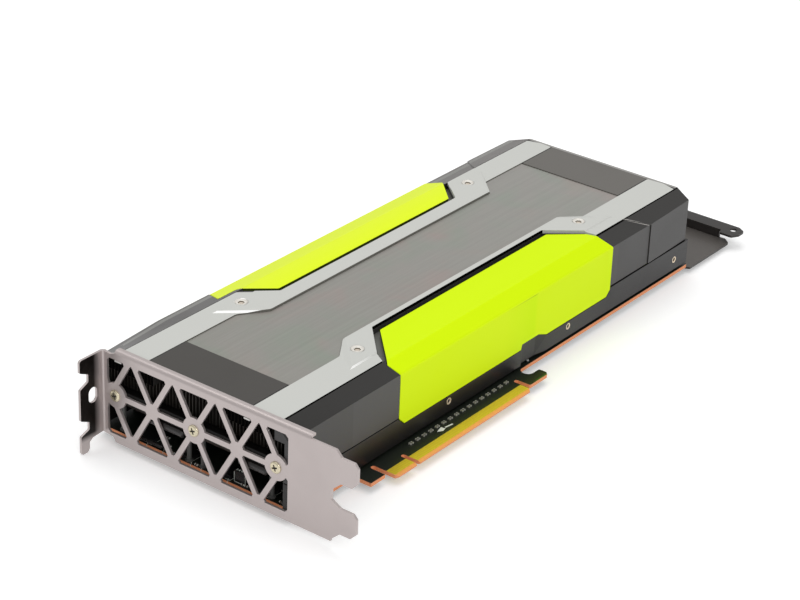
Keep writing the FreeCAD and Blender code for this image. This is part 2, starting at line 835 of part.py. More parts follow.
def rail_ends():
    """X limits of the rails, the front plate and the rear plate."""
    return BRACKET_THICKNESS + INLAY_GAP, SHROUD_END_X - 1.6


def rail_lobes(inner_y, narrow_y, rear_x):
    """Inner edge of a rail from the tail to the bracket, round both screws."""
    step = abs(inner_y - narrow_y)
    front = RAIL_SCREW_FRONT_X - 8.4
    rear = RAIL_SCREW_REAR_X - 1.2
    return [
        (rear_x, inner_y, 0.6),
        (rear + step, inner_y, 1.2),
        (rear, narrow_y, 1.2),
        (front + step + 3.6, narrow_y, 2.4),
        (front, inner_y, 2.6),
        (rail_ends()[0], inner_y, 0),
    ]


def low_rail_outline():
    """Rail beside the edge connector, with the corner radius of every point."""
    front_x, rear_x = rail_ends()
    waist = RAIL_WAIST_LOW_Y
    return [
        (front_x, RAIL_LOW_Y, 0),
        (COVER_FRONT_X - 2.6, RAIL_LOW_Y, 0.4),
        (COVER_FRONT_X + 0.4, RAIL_LOW_Y + 4.9, 0.8),
        (COVER_TOP_FRONT_X - 1.5, waist, 1.4),
        (COVER_TOP_REAR_X, waist, 1.4),
        (COVER_REAR_X - 3.8, RAIL_LOW_Y + 5.3, 0.8),
        (COVER_REAR_X - 3.0, RAIL_LOW_Y, 0.4),
        (rear_x - 1.2, RAIL_LOW_Y, 0.6),
        (rear_x + 0.6, RAIL_LOW_Y + 6.4, 0.8),
    ] + rail_lobes(RAIL_INNER_LOW_Y, RAIL_NARROW_LOW_Y, rear_x)


def high_rail_outline():
    """Rail beside the bracket's tab, with the corner radius of every point."""
    front_x, rear_x = rail_ends()
    waist = RAIL_WAIST_HIGH_Y
    return [
        (front_x, RAIL_HIGH_Y, 0),
        (COVER_FRONT_X + 3.3, RAIL_HIGH_Y, 1.4),
        (COVER_TOP_FRONT_X - 1.4, waist, 1.4),
        (COVER_TOP_REAR_X + 1.6, waist, 1.4),
        (COVER_REAR_X - 2.6, RAIL_HIGH_Y, 1.4),
        (rear_x - 1.2, RAIL_HIGH_Y, 0.6),
        (rear_x + 0.6, RAIL_HIGH_Y - 6.4, 0.8),
    ] + rail_lobes(RAIL_INNER_HIGH_Y, RAIL_NARROW_HIGH_Y, rear_x)


def outline_prism(outline, low_z, height):
    """Upright solid over an outline of points with radii."""
    points = [(x, y) for x, y, _ in outline]
    radii = [radius for _, _, radius in outline]
    return prism(points, on_z, low_z, height, radii)


def rail_screw_places():
    """Places of the four rail screws."""
    return [
        (x, y)
        for x in (RAIL_SCREW_FRONT_X, RAIL_SCREW_REAR_X)
        for y in (RAIL_SCREW_LOW_Y, RAIL_SCREW_HIGH_Y)
    ]


def raised_middle(side):
    """Ramped block over the stretch of a rail that holds its screws."""
    if side < 0:
        edge, inner, inward = RAIL_LOW_Y + RAISED_INSET, RAIL_NARROW_LOW_Y + 1, 1
    else:
        edge, inner, inward = RAIL_HIGH_Y - RAISED_INSET, RAIL_NARROW_HIGH_Y - 1, -1
    slant = RAISED_SLANT * abs(inner - edge) / (RAIL_INNER_LOW_Y - RAIL_LOW_Y)
    rings = []
    for rise, run in ((0, 0), (RAIL_RISE, 1)):
        run *= RAIL_RAMP
        side_y = edge + inward * run / 3
        corners = [
            (RAISED_FRONT_X + run, side_y),
            (RAISED_REAR_X - run, side_y),
            (RAISED_REAR_X - slant - run, inner),
            (RAISED_FRONT_X + slant + run, inner),
        ]
        rings.append(rounded_wire(corners, 0.0, on_z, SHROUD_TOP_Z + rise))
    return Part.makeLoft(rings, True, True)


def make_rail(outline, side):
    """Silver rail let into the top of the shroud, raised between its ends."""
    base_z = SHROUD_TOP_Z - INLAY_THICKNESS
    body = outline_prism(outline, base_z, INLAY_THICKNESS)
    raised = raised_middle(side).common(outline_prism(outline, SHROUD_TOP_Z, RAIL_RISE))
    body = fuse_all([body, raised])
    low_y, high_y = (0, LATTICE_CENTRE_Y) if side < 0 else (LATTICE_CENTRE_Y, SIDE_HIGH_Y)
    tools = []
    for x, y in rail_screw_places():
        if low_y < y < high_y:
            tools.append(rail_screw_seat(x, y))
    return cut_all(body, tools)


def rail_screw_seat(x, y):
    """Countersunk hole of a rail screw."""
    radius = SCREW_SHANK_RADIUS + SCREW_CLEARANCE
    base_z = SHROUD_TOP_Z - INLAY_THICKNESS
    depth = INLAY_THICKNESS + RAIL_RISE
    return countersink(radius, depth, (x, y, base_z))


def make_rail_screws():
    """Four countersunk screws of the rails, with hexagonal sockets."""
    screws = []
    radius = SCREW_SHANK_RADIUS
    base_z = SHROUD_TOP_Z - INLAY_THICKNESS
    head_height = INLAY_THICKNESS + RAIL_RISE - SCREW_CLEARANCE
    for x, y in rail_screw_places():
        head = countersink(radius, head_height, (x, y, base_z))
        shank = threaded_bar(radius, RAIL_SCREW_REACH, (x, y, base_z - RAIL_SCREW_REACH))
        corners = [
            (
                x + RAIL_SOCKET_RADIUS * math.cos(turn * math.pi / 3),
                y + RAIL_SOCKET_RADIUS * math.sin(turn * math.pi / 3),
            )
            for turn in range(6)
        ]
        socket_z = base_z + head_height - RAIL_SOCKET_DEPTH
        socket = prism(corners, on_z, socket_z, 2 * RAIL_SOCKET_DEPTH)
        screws.append(head.fuse(shank).cut(socket))
    return Part.makeCompound(screws)


def make_centre_panel():
    """Brushed panel between the rails, a little below them."""
    thickness = INLAY_THICKNESS - PANEL_SINK
    low_z = SHROUD_TOP_Z - INLAY_THICKNESS
    field = rectangle(
        FRONT_PLATE_END_X + INLAY_GAP,
        RAIL_INNER_LOW_Y,
        REAR_PLATE_START_X - INLAY_GAP,
        RAIL_INNER_HIGH_Y,
    )
    rails = []
    for outline in (low_rail_outline(), high_rail_outline()):
        points = [(x, y) for x, y, _ in outline]
        radii = [radius for _, _, radius in outline]
        face = Part.Face(rounded_wire(points, radii, on_z, low_z - 1))
        rails.append(face.makeOffset2D(INLAY_GAP, 2).extrude(Vector(0, 0, thickness + 2)))
    panel = cut_all(prism(field, on_z, low_z, thickness), rails)
    return max(panel.Solids, key=lambda piece: piece.Volume)


def make_end_plate(start_x, end_x):
    """Dark plate that closes the field between the rails at one end."""
    outline = rectangle(
        start_x, RAIL_INNER_LOW_Y + INLAY_GAP, end_x, RAIL_INNER_HIGH_Y - INLAY_GAP
    )
    return prism(outline, on_z, SHROUD_TOP_Z - INLAY_THICKNESS, INLAY_THICKNESS)


def low_cover_plan():
    """Outline from above of the cover over the edge connector."""
    inner = RAIL_WAIST_LOW_Y - GROOVE_WIDTH
    return [
        (COVER_FRONT_X + 0.4, SIDE_LOW_Y - 1.0, 0),
        (COVER_FRONT_X - 2.0, SIDE_LOW_Y + 4.9, 0.5),
        (COVER_TOP_FRONT_X, inner, 1.2),
        (COVER_TOP_REAR_X - 0.6, inner, 1.2),
        (COVER_REAR_X - 4.4, SIDE_LOW_Y + 10.5, 0.8),
        (COVER_REAR_X - 3.0, SIDE_LOW_Y + 5.6, 0.5),
        (COVER_REAR_X + 0.4, SIDE_LOW_Y - 1.0, 0),
    ]


def high_cover_plan():
    """Outline from above of the cover on the other side."""
    inner = RAIL_WAIST_HIGH_Y + GROOVE_WIDTH
    return [
        (COVER_FRONT_X + 2.4, SIDE_HIGH_Y + 1.0, 0),
        (COVER_FRONT_X - 4.0, SIDE_HIGH_Y - 9.5, 0.5),
        (COVER_FRONT_X + 6.1, SIDE_HIGH_Y - 9.5, 1.2),
        (COVER_TOP_FRONT_X + 0.8, inner, 1.2),
        (COVER_TOP_REAR_X + 0.5, inner, 1.2),
        (COVER_REAR_X - 2.6, SIDE_HIGH_Y - 9.5, 0.8),
        (COVER_REAR_X - 2.6, SIDE_HIGH_Y + 1.0, 0),
    ]


def cover_plan(side):
    """Plan outline of the cover on one side, -1 being the connector's side."""
    return low_cover_plan() if side < 0 else high_cover_plan()


def cover_ends(side):
    """X limits of a cover's skirt."""
    if side < 0:
        return COVER_FRONT_X, COVER_REAR_X
    return COVER_FRONT_X + 1.8, COVER_REAR_X - 2.6


def cover_section(side, sink=0.0):
    """Outer section of a side cover, moved inwards by a sink."""
    rise = SHROUD_TOP_Z - CREASE_Z
    if side < 0:
        slope = (RAIL_LOW_Y - SIDE_LOW_Y) / rise
        outer = SIDE_LOW_Y + sink
        middle = RAIL_WAIST_LOW_Y + 2
        top = outer + (COVER_TOP_Z - CREASE_Z) * slope
    else:
        slope = (SIDE_HIGH_Y - RAIL_HIGH_Y) / rise
        outer = SIDE_HIGH_Y - sink
        middle = RAIL_WAIST_HIGH_Y - 2
        top = outer - (COVER_TOP_Z - CREASE_Z) * slope
    return [
        (outer, COVER_BOTTOM_Z - 1),
        (outer, CREASE_Z - sink),
        (top, COVER_TOP_Z - sink),
        (middle, COVER_TOP_Z - sink),
        (middle, COVER_BOTTOM_Z - 1),
    ]


def cover_skirt(side, gap=0.0):
    """Outline of a cover's skirt seen from its side, grown by a gap."""
    front, rear = cover_ends(side)
    front -= gap
    rear += gap
    low = COVER_BOTTOM_Z - gap
    outline = [
        (front - 8, SHROUD_TOP_Z + 2),
        (front - 8, SIDE_STEP_Z),
        (front, SIDE_STEP_Z),
        (front, low + 3.2),
        (front + 3.4, low),
    ]
    if side < 0:
        outline += [
            (COVER_STEP_START_X, low),
            (COVER_STEP_START_X + 0.6, COVER_STEP_Z - gap),
            (COVER_STEP_END_X, COVER_STEP_Z - gap),
            (COVER_STEP_END_X + 5.6, low),
        ]
    outline += [
        (rear - 2.6, low),
        (rear, low + 2.6),
        (rear, SIDE_STEP_Z),
        (rear + 8, SIDE_STEP_Z),
        (rear + 8, SHROUD_TOP_Z + 2),
    ]
    return outline


def cover_body(side, thickness):
    """Solid below a cover's outer faces, or a sheet of a given thickness."""
    front, rear = cover_ends(side)
    start = front - 9
    length = rear - front + 18
    outer = prism(cover_section(side), on_x, start, length, [0, 1.2, 1.2, 0, 0])
    return outer.cut(prism(cover_section(side, thickness), on_x, start - 1, length + 2))


def make_cover(side):
    """Bright side cover: a bent sheet with a slanted plan and a skirt."""
    sheet = cover_body(side, COVER_THICKNESS)
    plan = outline_prism(cover_plan(side), 0, SHROUD_TOP_Z + 2)
    width = SIDE_HIGH_Y - SIDE_LOW_Y + 10
    skirt = prism(cover_skirt(side), on_y, SIDE_LOW_Y - 5, width)
    return sheet.common(plan).common(skirt)


def cover_bed(side):
    """Room for a side cover, with the groove between it and its rail."""
    front, rear = cover_ends(side)
    start = front - 9
    length = rear - front + 18
    width = SIDE_HIGH_Y - SIDE_LOW_Y + 10
    points = [(x, y) for x, y, _ in cover_plan(side)]
    face = Part.Face(rounded_wire(points, 0.0, on_z, 0))
    snug = face.makeOffset2D(COVER_GAP, 2).extrude(Vector(0, 0, SHROUD_TOP_Z + 2))
    snug = snug.common(prism(cover_skirt(side, COVER_GAP), on_y, SIDE_LOW_Y - 5, width))
    plinth = prism(cover_section(side, COVER_THICKNESS + COVER_GAP), on_x, start, length)
    wide = face.makeOffset2D(GROOVE_WIDTH + 0.2, 2)
    narrow = face.makeOffset2D(-0.6, 2)
    groove_base = SHROUD_TOP_Z - GROOVE_DEPTH
    groove = wide.cut(narrow).extrude(Vector(0, 0, GROOVE_DEPTH + 2))
    groove.translate(Vector(0, 0, groove_base))
    if side < 0:
        field = rectangle(0, RAIL_LOW_Y - 0.4, SHROUD_END_X, LATTICE_CENTRE_Y)
    else:
        field = rectangle(0, LATTICE_CENTRE_Y, SHROUD_END_X, RAIL_HIGH_Y + 0.4)
    groove = groove.common(prism(field, on_z, 0, SHROUD_TOP_Z + 5))
    return snug.cut(plinth).fuse(groove)


def shroud_front():
    """Front stretch of the shroud, whose sides narrow and creases drop to the bracket."""
    rings = []
    for x, inset, drop in (
        (BRACKET_THICKNESS, FRONT_TAPER, FRONT_DROP),
        (FRONT_TAPER_X, 0, 0),
    ):
        section = [
            (SIDE_LOW_Y + inset, SEAM_Z),
            (SIDE_HIGH_Y - inset, SEAM_Z),
            (SIDE_HIGH_Y - inset, CREASE_Z - drop),
            (RAIL_HIGH_Y, SHROUD_TOP_Z),
            (RAIL_LOW_Y, SHROUD_TOP_Z),
            (SIDE_LOW_Y + inset, CREASE_Z - drop),
        ]
        rings.append(rounded_wire(section, 0.0, on_x, x))
    return Part.makeLoft(rings, True, True)


def taper_cuts(low_z, high_z):
    """Thin wedges that draw the sides in towards the rear end of the shroud."""
    wedges = []
    for side_y, inward in ((SIDE_LOW_Y, 1), (SIDE_HIGH_Y, -1)):
        out = side_y - inward
        rear = [
            (REAR_TAPER_X, out),
            (SHROUD_END_X + 1, out),
            (SHROUD_END_X + 1, side_y + inward * REAR_TAPER),
            (REAR_TAPER_X, side_y),
        ]
        wedges.append(prism(rear, on_z, low_z, high_z - low_z))
    return wedges


def rear_block_cuts():
    """Layer taken off in front of the rear block, with a gap down each side."""
    step = REAR_BLOCK_STEP
    inner = [
        (SIDE_LOW_Y + step, SEAM_Z - 1),
        (SIDE_HIGH_Y - step, SEAM_Z - 1),
        (SIDE_HIGH_Y - step, CREASE_Z - step / 2),
        (RAIL_HIGH_Y, SHROUD_TOP_Z - step),
        (RAIL_LOW_Y, SHROUD_TOP_Z - step),
        (SIDE_LOW_Y + step, CREASE_Z - step / 2),
    ]
    start = COVER_REAR_X - 6
    length = REAR_TAPER_X - start + 2
    outer = prism(shroud_section(), on_x, start, length)
    layer = outer.cut(prism(inner, on_x, start - 1, length + 2))
    cuts = []
    for edge_y, rail_y, inward in (
        (SIDE_LOW_Y, RAIL_LOW_Y, 1),
        (SIDE_HIGH_Y, RAIL_HIGH_Y, -1),
    ):
        area = [
            (start, edge_y - inward),
            (REAR_TAPER_X, edge_y - inward),
            (REAR_TAPER_X, edge_y),
            (REAR_BLOCK_TOP_X, rail_y),
            (start, rail_y),
        ]
        cuts.append(layer.common(prism(area, on_z, 0, SHROUD_TOP_Z + 5)))
        cuts.append(box(
            (REAR_TAPER_X - REAR_BLOCK_GAP, min(edge_y - inward, edge_y + inward), SEAM_Z - 1),
            (REAR_TAPER_X, max(edge_y - inward, edge_y + inward), CREASE_Z - step),
        ))
    return cuts


def make_shroud():
    """Dark cover over the cooler, open at both ends for the air."""
    body = prism(shroud_section(), on_x, FRONT_TAPER_X, SHROUD_END_X - FRONT_TAPER_X)
    body = fuse_all([shroud_front(), body])
    tools = [prism(duct_section(), on_x, -1, SHROUD_END_X + 3)]
    seat_z = SHROUD_TOP_Z - INLAY_THICKNESS
    field = rectangle(0, RAIL_INNER_LOW_Y - 1, SHROUD_END_X - 1.6, RAIL_INNER_HIGH_Y + 1)
    tools.append(prism(field, on_z, seat_z, 3))
    tools.append(outline_prism(low_rail_outline(), seat_z, 3))
    tools.append(outline_prism(high_rail_outline(), seat_z, 3))
    for side in (-1, 1):
        tools.append(cover_bed(side))
    tools += taper_cuts(SEAM_Z - 1, SHROUD_TOP_Z + 1)
    tools += rear_block_cuts()
    radius = SCREW_SHANK_RADIUS + THREAD_CLEARANCE
    for x, y in rail_screw_places():
        reach = INLAY_THICKNESS + RAIL_SCREW_REACH + 1
        tools.append(threaded_bar(radius, reach, (x, y, SHROUD_TOP_Z - reach)))
    return cut_all(body, tools)


def make_base_plate():
    """Black cast frame on the board, with side walls, floor, ribs and bosses."""
    low_in = SIDE_LOW_Y + BASE_WALL
    high_in = SIDE_HIGH_Y - BASE_WALL
    floor_top = BASE_FLOOR_Z + BASE_FLOOR_THICKNESS
    pieces = [
        box((BRACKET_THICKNESS, SIDE_LOW_Y, BASE_FOOT_Z), (BASE_END_X, low_in, SEAM_Z)),
        box((BRACKET_THICKNESS, high_in, BASE_FOOT_Z), (BASE_END_X, SIDE_HIGH_Y, SEAM_Z)),
        box((BASE_FRONT_X, low_in, BASE_FLOOR_Z), (BASE_END_X, high_in, floor_top)),
        box((BASE_END_X - BASE_WALL, low_in, BASE_FOOT_Z), (BASE_END_X, high_in, SEAM_Z)),
    ]
    rib_places = (
        BASE_FRONT_X,
        GPU_X - SINK_POST_SPREAD - 10,
        GPU_X + SINK_POST_SPREAD + 10,
        CAPACITOR_X - 10,
        CHAMBER_END_X - BASE_RIB,
    )
    for x in rib_places:
        pieces.append(box((x, low_in, floor_top), (x + BASE_RIB, high_in, SEAM_Z)))
    half = BASE_POST_WIDTH / 2
    for x, y in back_screw_places():
        pieces.append(box(
            (x - half, y - half, BOARD_THICKNESS),
            (x + half, y + half, BASE_FLOOR_Z + 1),
        ))
    mosfet_y = CHOKE_FIRST_Y - CHOKE_WIDTH / 2
    press = BOARD_THICKNESS + MOSFET_HEIGHT + PAD_THICKNESS
    pieces.append(box(
        (MOSFET_X - MOSFET_LENGTH / 2, mosfet_y, press),
        (MOSFET_X + MOSFET_LENGTH / 2, mosfet_y + CHOKE_COUNT * CHOKE_PITCH, BASE_FLOOR_Z + 1),
    ))
    body = fuse_all(pieces)
    tools = [gpu_opening(floor_top), socket_opening()]
    tools += pocket_cuts()
    for side in (-1, 1):
        tools.append(cover_bed(side))
    for x in insert_places():
        for y, direction in ((SIDE_LOW_Y - 1, 1), (SIDE_HIGH_Y + 1, -1)):
            depth = INSERT_LENGTH + 1
            axis = Vector(0, direction, 0)
            tools.append(faceted_bar(INSERT_RADIUS, depth, (x, y, INSERT_Z), axis))
    radius = SCREW_SHANK_RADIUS + THREAD_CLEARANCE
    for x, y in back_screw_places():
        tools.append(threaded_bar(radius, BACK_SCREW_REACH, (x, y, 0)))
    return cut_all(body, tools)


def gpu_opening(floor_top):
    """Opening in the floor round the processor and the cooler's posts."""
    reach = SINK_POST_SPREAD + SINK_POST_WIDTH / 2 + 1.5
    outline = rectangle(GPU_X - reach, GPU_Y - reach, GPU_X + reach, GPU_Y + reach)
    return prism(outline, on_z, BASE_FLOOR_Z - 1, floor_top - BASE_FLOOR_Z + 2)


def socket_opening():
    """Opening in the tail wall and floor for the power socket."""
    low = (BOARD_END_X - SOCKET_DEPTH - 1, SOCKET_LOW_Y - 0.4, BOARD_THICKNESS)
    high = (
        BASE_END_X + 1,
        SOCKET_LOW_Y + SOCKET_WIDTH + 0.4,
        BOARD_THICKNESS + SOCKET_HEIGHT + 0.3,
    )
    return box(low, high)


def pocket_cuts():
    """Shallow pocket in the side wall above the retention hook."""
    outline = [
        (POCKET_START_X, SIDE_LOW_Y - 1),
        (POCKET_SLOPE_END_X, SIDE_LOW_Y - 1),
        (POCKET_SLOPE_END_X, SIDE_LOW_Y),
        (POCKET_END_X, SIDE_LOW_Y + POCKET_DEPTH),
        (POCKET_START_X, SIDE_LOW_Y + POCKET_DEPTH),
    ]
    return [prism(outline, on_z, BASE_FOOT_Z - 1, COVER_STEP_Z - BASE_FOOT_Z + 1)]


def make_side_inserts():
    """Threaded steel inserts in both side walls."""
    tubes = []
    for x in insert_places():
        for y, direction in ((SIDE_LOW_Y, 1), (SIDE_HIGH_Y, -1)):
            axis = Vector(0, direction, 0)
            tube = faceted_bar(INSERT_RADIUS, INSERT_LENGTH, (x, y, INSERT_Z), axis)
            bore = threaded_bar(INSERT_BORE, INSERT_LENGTH + 2, (x, y - direction, INSERT_Z), axis)
            tubes.append(tube.cut(bore))
    return Part.makeCompound(tubes)


def chamber_sides():
    """Y limits of the cooler inside the shroud."""
    return SIDE_LOW_Y + SHROUD_WALL + 0.1, SIDE_HIGH_Y - SHROUD_WALL - 0.1


def make_vapour_chamber():
    """Flat vapour chamber on the base plate's ribs, with posts for its screws."""
    low_y, high_y = chamber_sides()
    plate = box(
        (CHAMBER_FRONT_X, low_y, SEAM_Z),
        (CHAMBER_END_X, high_y, SEAM_Z + CHAMBER_THICKNESS),
    )
    pieces = [plate]
    half = SINK_POST_WIDTH / 2
    for x, y in sink_screw_places():
        pieces.append(box(
            (x - half, y - half, BOARD_THICKNESS), (x + half, y + half, SEAM_Z)
        ))
    body = fuse_all(pieces)
    radius = SCREW_SHANK_RADIUS + THREAD_CLEARANCE
    holes = [
        threaded_bar(radius, BACK_SCREW_REACH + 1, (x, y, 0)) for x, y in sink_screw_places()
    ]
    return cut_all(body, holes)


def fin_places():
    """Y places of the cooler's fins, centred in the duct."""
    low_y, high_y = chamber_sides()
    count = int((high_y - low_y - FIN_FLANGE) / FIN_PITCH)
    first = (low_y + high_y - count * FIN_PITCH) / 2
    return [first + step * FIN_PITCH for step in range(count)]


def make_fins():
    """Folded fins side by side, each foot touching the next fin."""
    low_z = SEAM_Z + CHAMBER_THICKNESS
    side_top = duct_side_top() - FIN_ROOF_GAP
    centre_top = SHROUD_TOP_Z - SEAT_DEPTH - SHROUD_ROOF - FIN_ROOF_GAP
    shoulder = SHROUD_WALL + GROOVE_WIDTH + 0.3
    low_limit = RAIL_WAIST_LOW_Y + shoulder
    high_limit = RAIL_WAIST_HIGH_Y - shoulder - FIN_FLANGE
    fins = []
    for y in fin_places():
        top = centre_top if low_limit < y < high_limit else side_top
        outline = [
            (y, low_z),
            (y + FIN_FLANGE, low_z),
            (y + FIN_FLANGE, low_z + FIN_THICKNESS),
            (y + FIN_THICKNESS, low_z + FIN_THICKNESS),
            (y + FIN_THICKNESS, top),
            (y, top),
        ]
        fins.append(prism(outline, on_x, CHAMBER_FRONT_X, CHAMBER_END_X - CHAMBER_FRONT_X))
    return Part.makeCompound(fins)


def make_pedestal():
    """Copper block between the processor and the vapour chamber."""
    half = PEDESTAL_SIZE / 2
    low_z = BOARD_THICKNESS + PACKAGE_THICKNESS + DIE_THICKNESS
    outline = rectangle(GPU_X - half, GPU_Y - half, GPU_X + half, GPU_Y + half)
    return prism(outline, on_z, low_z, SEAM_Z - low_z)


def make_package():
    """Processor package on the board."""
    half = PACKAGE_SIZE / 2
    outline = rectangle(GPU_X - half, GPU_Y - half, GPU_X + half, GPU_Y + half)
    return prism(outline, on_z, BOARD_THICKNESS, PACKAGE_THICKNESS)


def make_die():
    """Bare processor die on its package."""
    low_z = BOARD_THICKNESS + PACKAGE_THICKNESS
    low = (GPU_X - DIE_LENGTH / 2, GPU_Y - DIE_WIDTH / 2, low_z)
    high = (GPU_X + DIE_LENGTH / 2, GPU_Y + DIE_WIDTH / 2, low_z + DIE_THICKNESS)
    return box(low, high)


def make_memory_stacks():
    """Four memory stacks, two on each side of the die."""
    low_z = BOARD_THICKNESS + PACKAGE_THICKNESS
    stacks = []
    for side_x in (-1, 1):
        for side_y in (-1, 1):
            x = GPU_X + side_x * (STACK_LENGTH / 2 + 0.6)
            y = GPU_Y + side_y * (DIE_WIDTH / 2 + STACK_WIDTH / 2 + 0.6)
            stacks.append(box(
                (x - STACK_LENGTH / 2, y - STACK_WIDTH / 2, low_z),
                (x + STACK_LENGTH / 2, y + STACK_WIDTH / 2, low_z + DIE_THICKNESS),
            ))
    return Part.makeCompound(stacks)


def choke_rows():
    """Y places of the chokes and their switches."""
    return [CHOKE_FIRST_Y + step * CHOKE_PITCH for step in range(CHOKE_COUNT)]


def make_chokes():
    """Two columns of power chokes."""
    chokes = []
    for x in (CHOKE_FIRST_X, CHOKE_SECOND_X):
        for y in choke_rows():
            half_x = CHOKE_LENGTH / 2
            half_y = CHOKE_WIDTH / 2
            low = (x - half_x, y - half_y, BOARD_THICKNESS)
            chokes.append(box(low, (x + half_x, y + half_y, BOARD_THICKNESS + CHOKE_HEIGHT)))
    return Part.makeCompound(chokes)


def make_mosfets():
    """Column of power switches between the chokes."""
    parts = []
    for y in choke_rows():
        low = (MOSFET_X - MOSFET_LENGTH / 2, y - MOSFET_WIDTH / 2, BOARD_THICKNESS)
        high = (
            MOSFET_X + MOSFET_LENGTH / 2,
            y + MOSFET_WIDTH / 2,
            BOARD_THICKNESS + MOSFET_HEIGHT,
        )
        parts.append(box(low, high))
    return Part.makeCompound(parts)


def make_thermal_pads():
    """Soft pads between the power parts and the base plate."""
    low_y = CHOKE_FIRST_Y - CHOKE_WIDTH / 2
    high_y = low_y + (CHOKE_COUNT - 1) * CHOKE_PITCH + CHOKE_WIDTH
    pads = []
    choke_top = BOARD_THICKNESS + CHOKE_HEIGHT
    for x in (CHOKE_FIRST_X, CHOKE_SECOND_X):
        half = CHOKE_LENGTH / 2
        pads.append(box((x - half, low_y, choke_top), (x + half, high_y, BASE_FLOOR_Z)))
    mosfet_top = BOARD_THICKNESS + MOSFET_HEIGHT
    half = MOSFET_LENGTH / 2
    pads.append(box(
        (MOSFET_X - half, low_y, mosfet_top),
        (MOSFET_X + half, high_y, mosfet_top + PAD_THICKNESS),
    ))
    return Part.makeCompound(pads)


def make_capacitors():
    """Flat polymer capacitors between the chokes and the power socket."""
    blocks = []
    for column in (0, 1):
        for y in choke_rows()[:6]:
            x = CAPACITOR_X + column * CHOKE_PITCH
            low = (x - CAPACITOR_LENGTH / 2, y - CAPACITOR_WIDTH / 2, BOARD_THICKNESS)
            high = (
                x + CAPACITOR_LENGTH / 2,
                y + CAPACITOR_WIDTH / 2,
                BOARD_THICKNESS + CAPACITOR_HEIGHT,
            )
            blocks.append(box(low, high))
    return Part.makeCompound(blocks)


def square_chip(x, y, size, height):
    """Square chip on the board, round a centre."""
    low = (x - size / 2, y - size / 2, BOARD_THICKNESS)
    high = (x + size / 2, y + size / 2, BOARD_THICKNESS + height)
    return box(low, high)


def make_board_chips():
    """Small chips behind the bracket and a controller on each side of the processor."""
    chips = []
    for step in range(FRONT_CHIP_COUNT):
        y = LATTICE_CENTRE_Y + (step - (FRONT_CHIP_COUNT - 1) / 2) * FRONT_CHIP_PITCH
        chips.append(square_chip(FRONT_CHIP_X, y, FRONT_CHIP_SIZE, FRONT_CHIP_HEIGHT))
    for side in (-1, 1):
        y = GPU_Y + side * CONTROLLER_SPREAD
        chips.append(square_chip(CONTROLLER_X, y, CONTROLLER_SIZE, CONTROLLER_HEIGHT))
    return Part.makeCompound(chips)


def socket_cells():
    """Centres of the power socket's eight cells, as Y and Z."""
    centre_y = SOCKET_LOW_Y + SOCKET_WIDTH / 2
    centre_z = BOARD_THICKNESS + SOCKET_HEIGHT / 2
    return [
        (centre_y + (column - 1.5) * SOCKET_PITCH, centre_z + (row - 0.5) * SOCKET_PITCH)
        for column in range(4)
        for row in range(2)
    ]


def make_power_socket():
    """Eight-way power socket that opens at the tail."""
    body = box(
        (BOARD_END_X - SOCKET_DEPTH, SOCKET_LOW_Y, BOARD_THICKNESS),
        (BOARD_END_X, SOCKET_LOW_Y + SOCKET_WIDTH, BOARD_THICKNESS + SOCKET_HEIGHT),
    )
    half = SOCKET_CELL / 2
    tools = []
    for y, z in socket_cells():
        outline = rectangle(y - half, z - half, y + half, z + half)
        tools.append(prism(outline, on_x, BOARD_END_X - SOCKET_DEPTH + 2.5, SOCKET_DEPTH))
    return cut_all(body, tools)


def make_power_pins():
    """Pins that stand in the power socket."""
    half = PIN_WIDTH / 2
    pins = []
    for y, z in socket_cells():
        low = (BOARD_END_X - SOCKET_DEPTH + 2.5, y - half, z - half)
        high = (BOARD_END_X - 3.0, y + half, z + half)
        pins.append(box(low, high))
    return Part.makeCompound(pins)


def back_plate_area(end_x):
    """Outline of the sheet under the board up to a given end."""
    return rectangle(
        BOARD_FRONT_X + BACK_PLATE_MARGIN,
        BOARD_LOW_Y + BACK_PLATE_MARGIN,
        end_x,
        BOARD_HIGH_Y - BACK_PLATE_MARGIN,
    )


def screw_holes(places, low_z, height):
    """Clearance holes for the screws from below."""
    radius = SCREW_SHANK_RADIUS + SCREW_CLEARANCE
    return [threaded_bar(radius, height, (x, y, low_z)) for x, y in places]


def sheet_under_board(low_z, thickness):
    """Sheet with an opening that leaves the processor's screws free."""
    area = cut_corners(back_plate_area(BACK_PLATE_END_X), BACK_PLATE_CORNER)
    sheet = prism(area, on_z, low_z, thickness)
    reach = SINK_POST_SPREAD + SINK_WINDOW_MARGIN
    window = rectangle(GPU_X - reach, GPU_Y - reach, GPU_X + reach, GPU_Y + reach)
    window = cut_corners(window, BACK_PLATE_CORNER)
    tools = screw_holes(back_screw_places(), low_z - 1, thickness + 2)
    tools.append(prism(window, on_z, low_z - 1, thickness + 2))
    return cut_all(sheet, tools)


def make_film():
    """Insulating film between the board and its back plate."""
    return sheet_under_board(-FILM_THICKNESS, FILM_THICKNESS)


def make_back_plate():
    """Black steel sheet under the board."""
    return sheet_under_board(-FILM_THICKNESS - BACK_PLATE_THICKNESS, BACK_PLATE_THICKNESS)


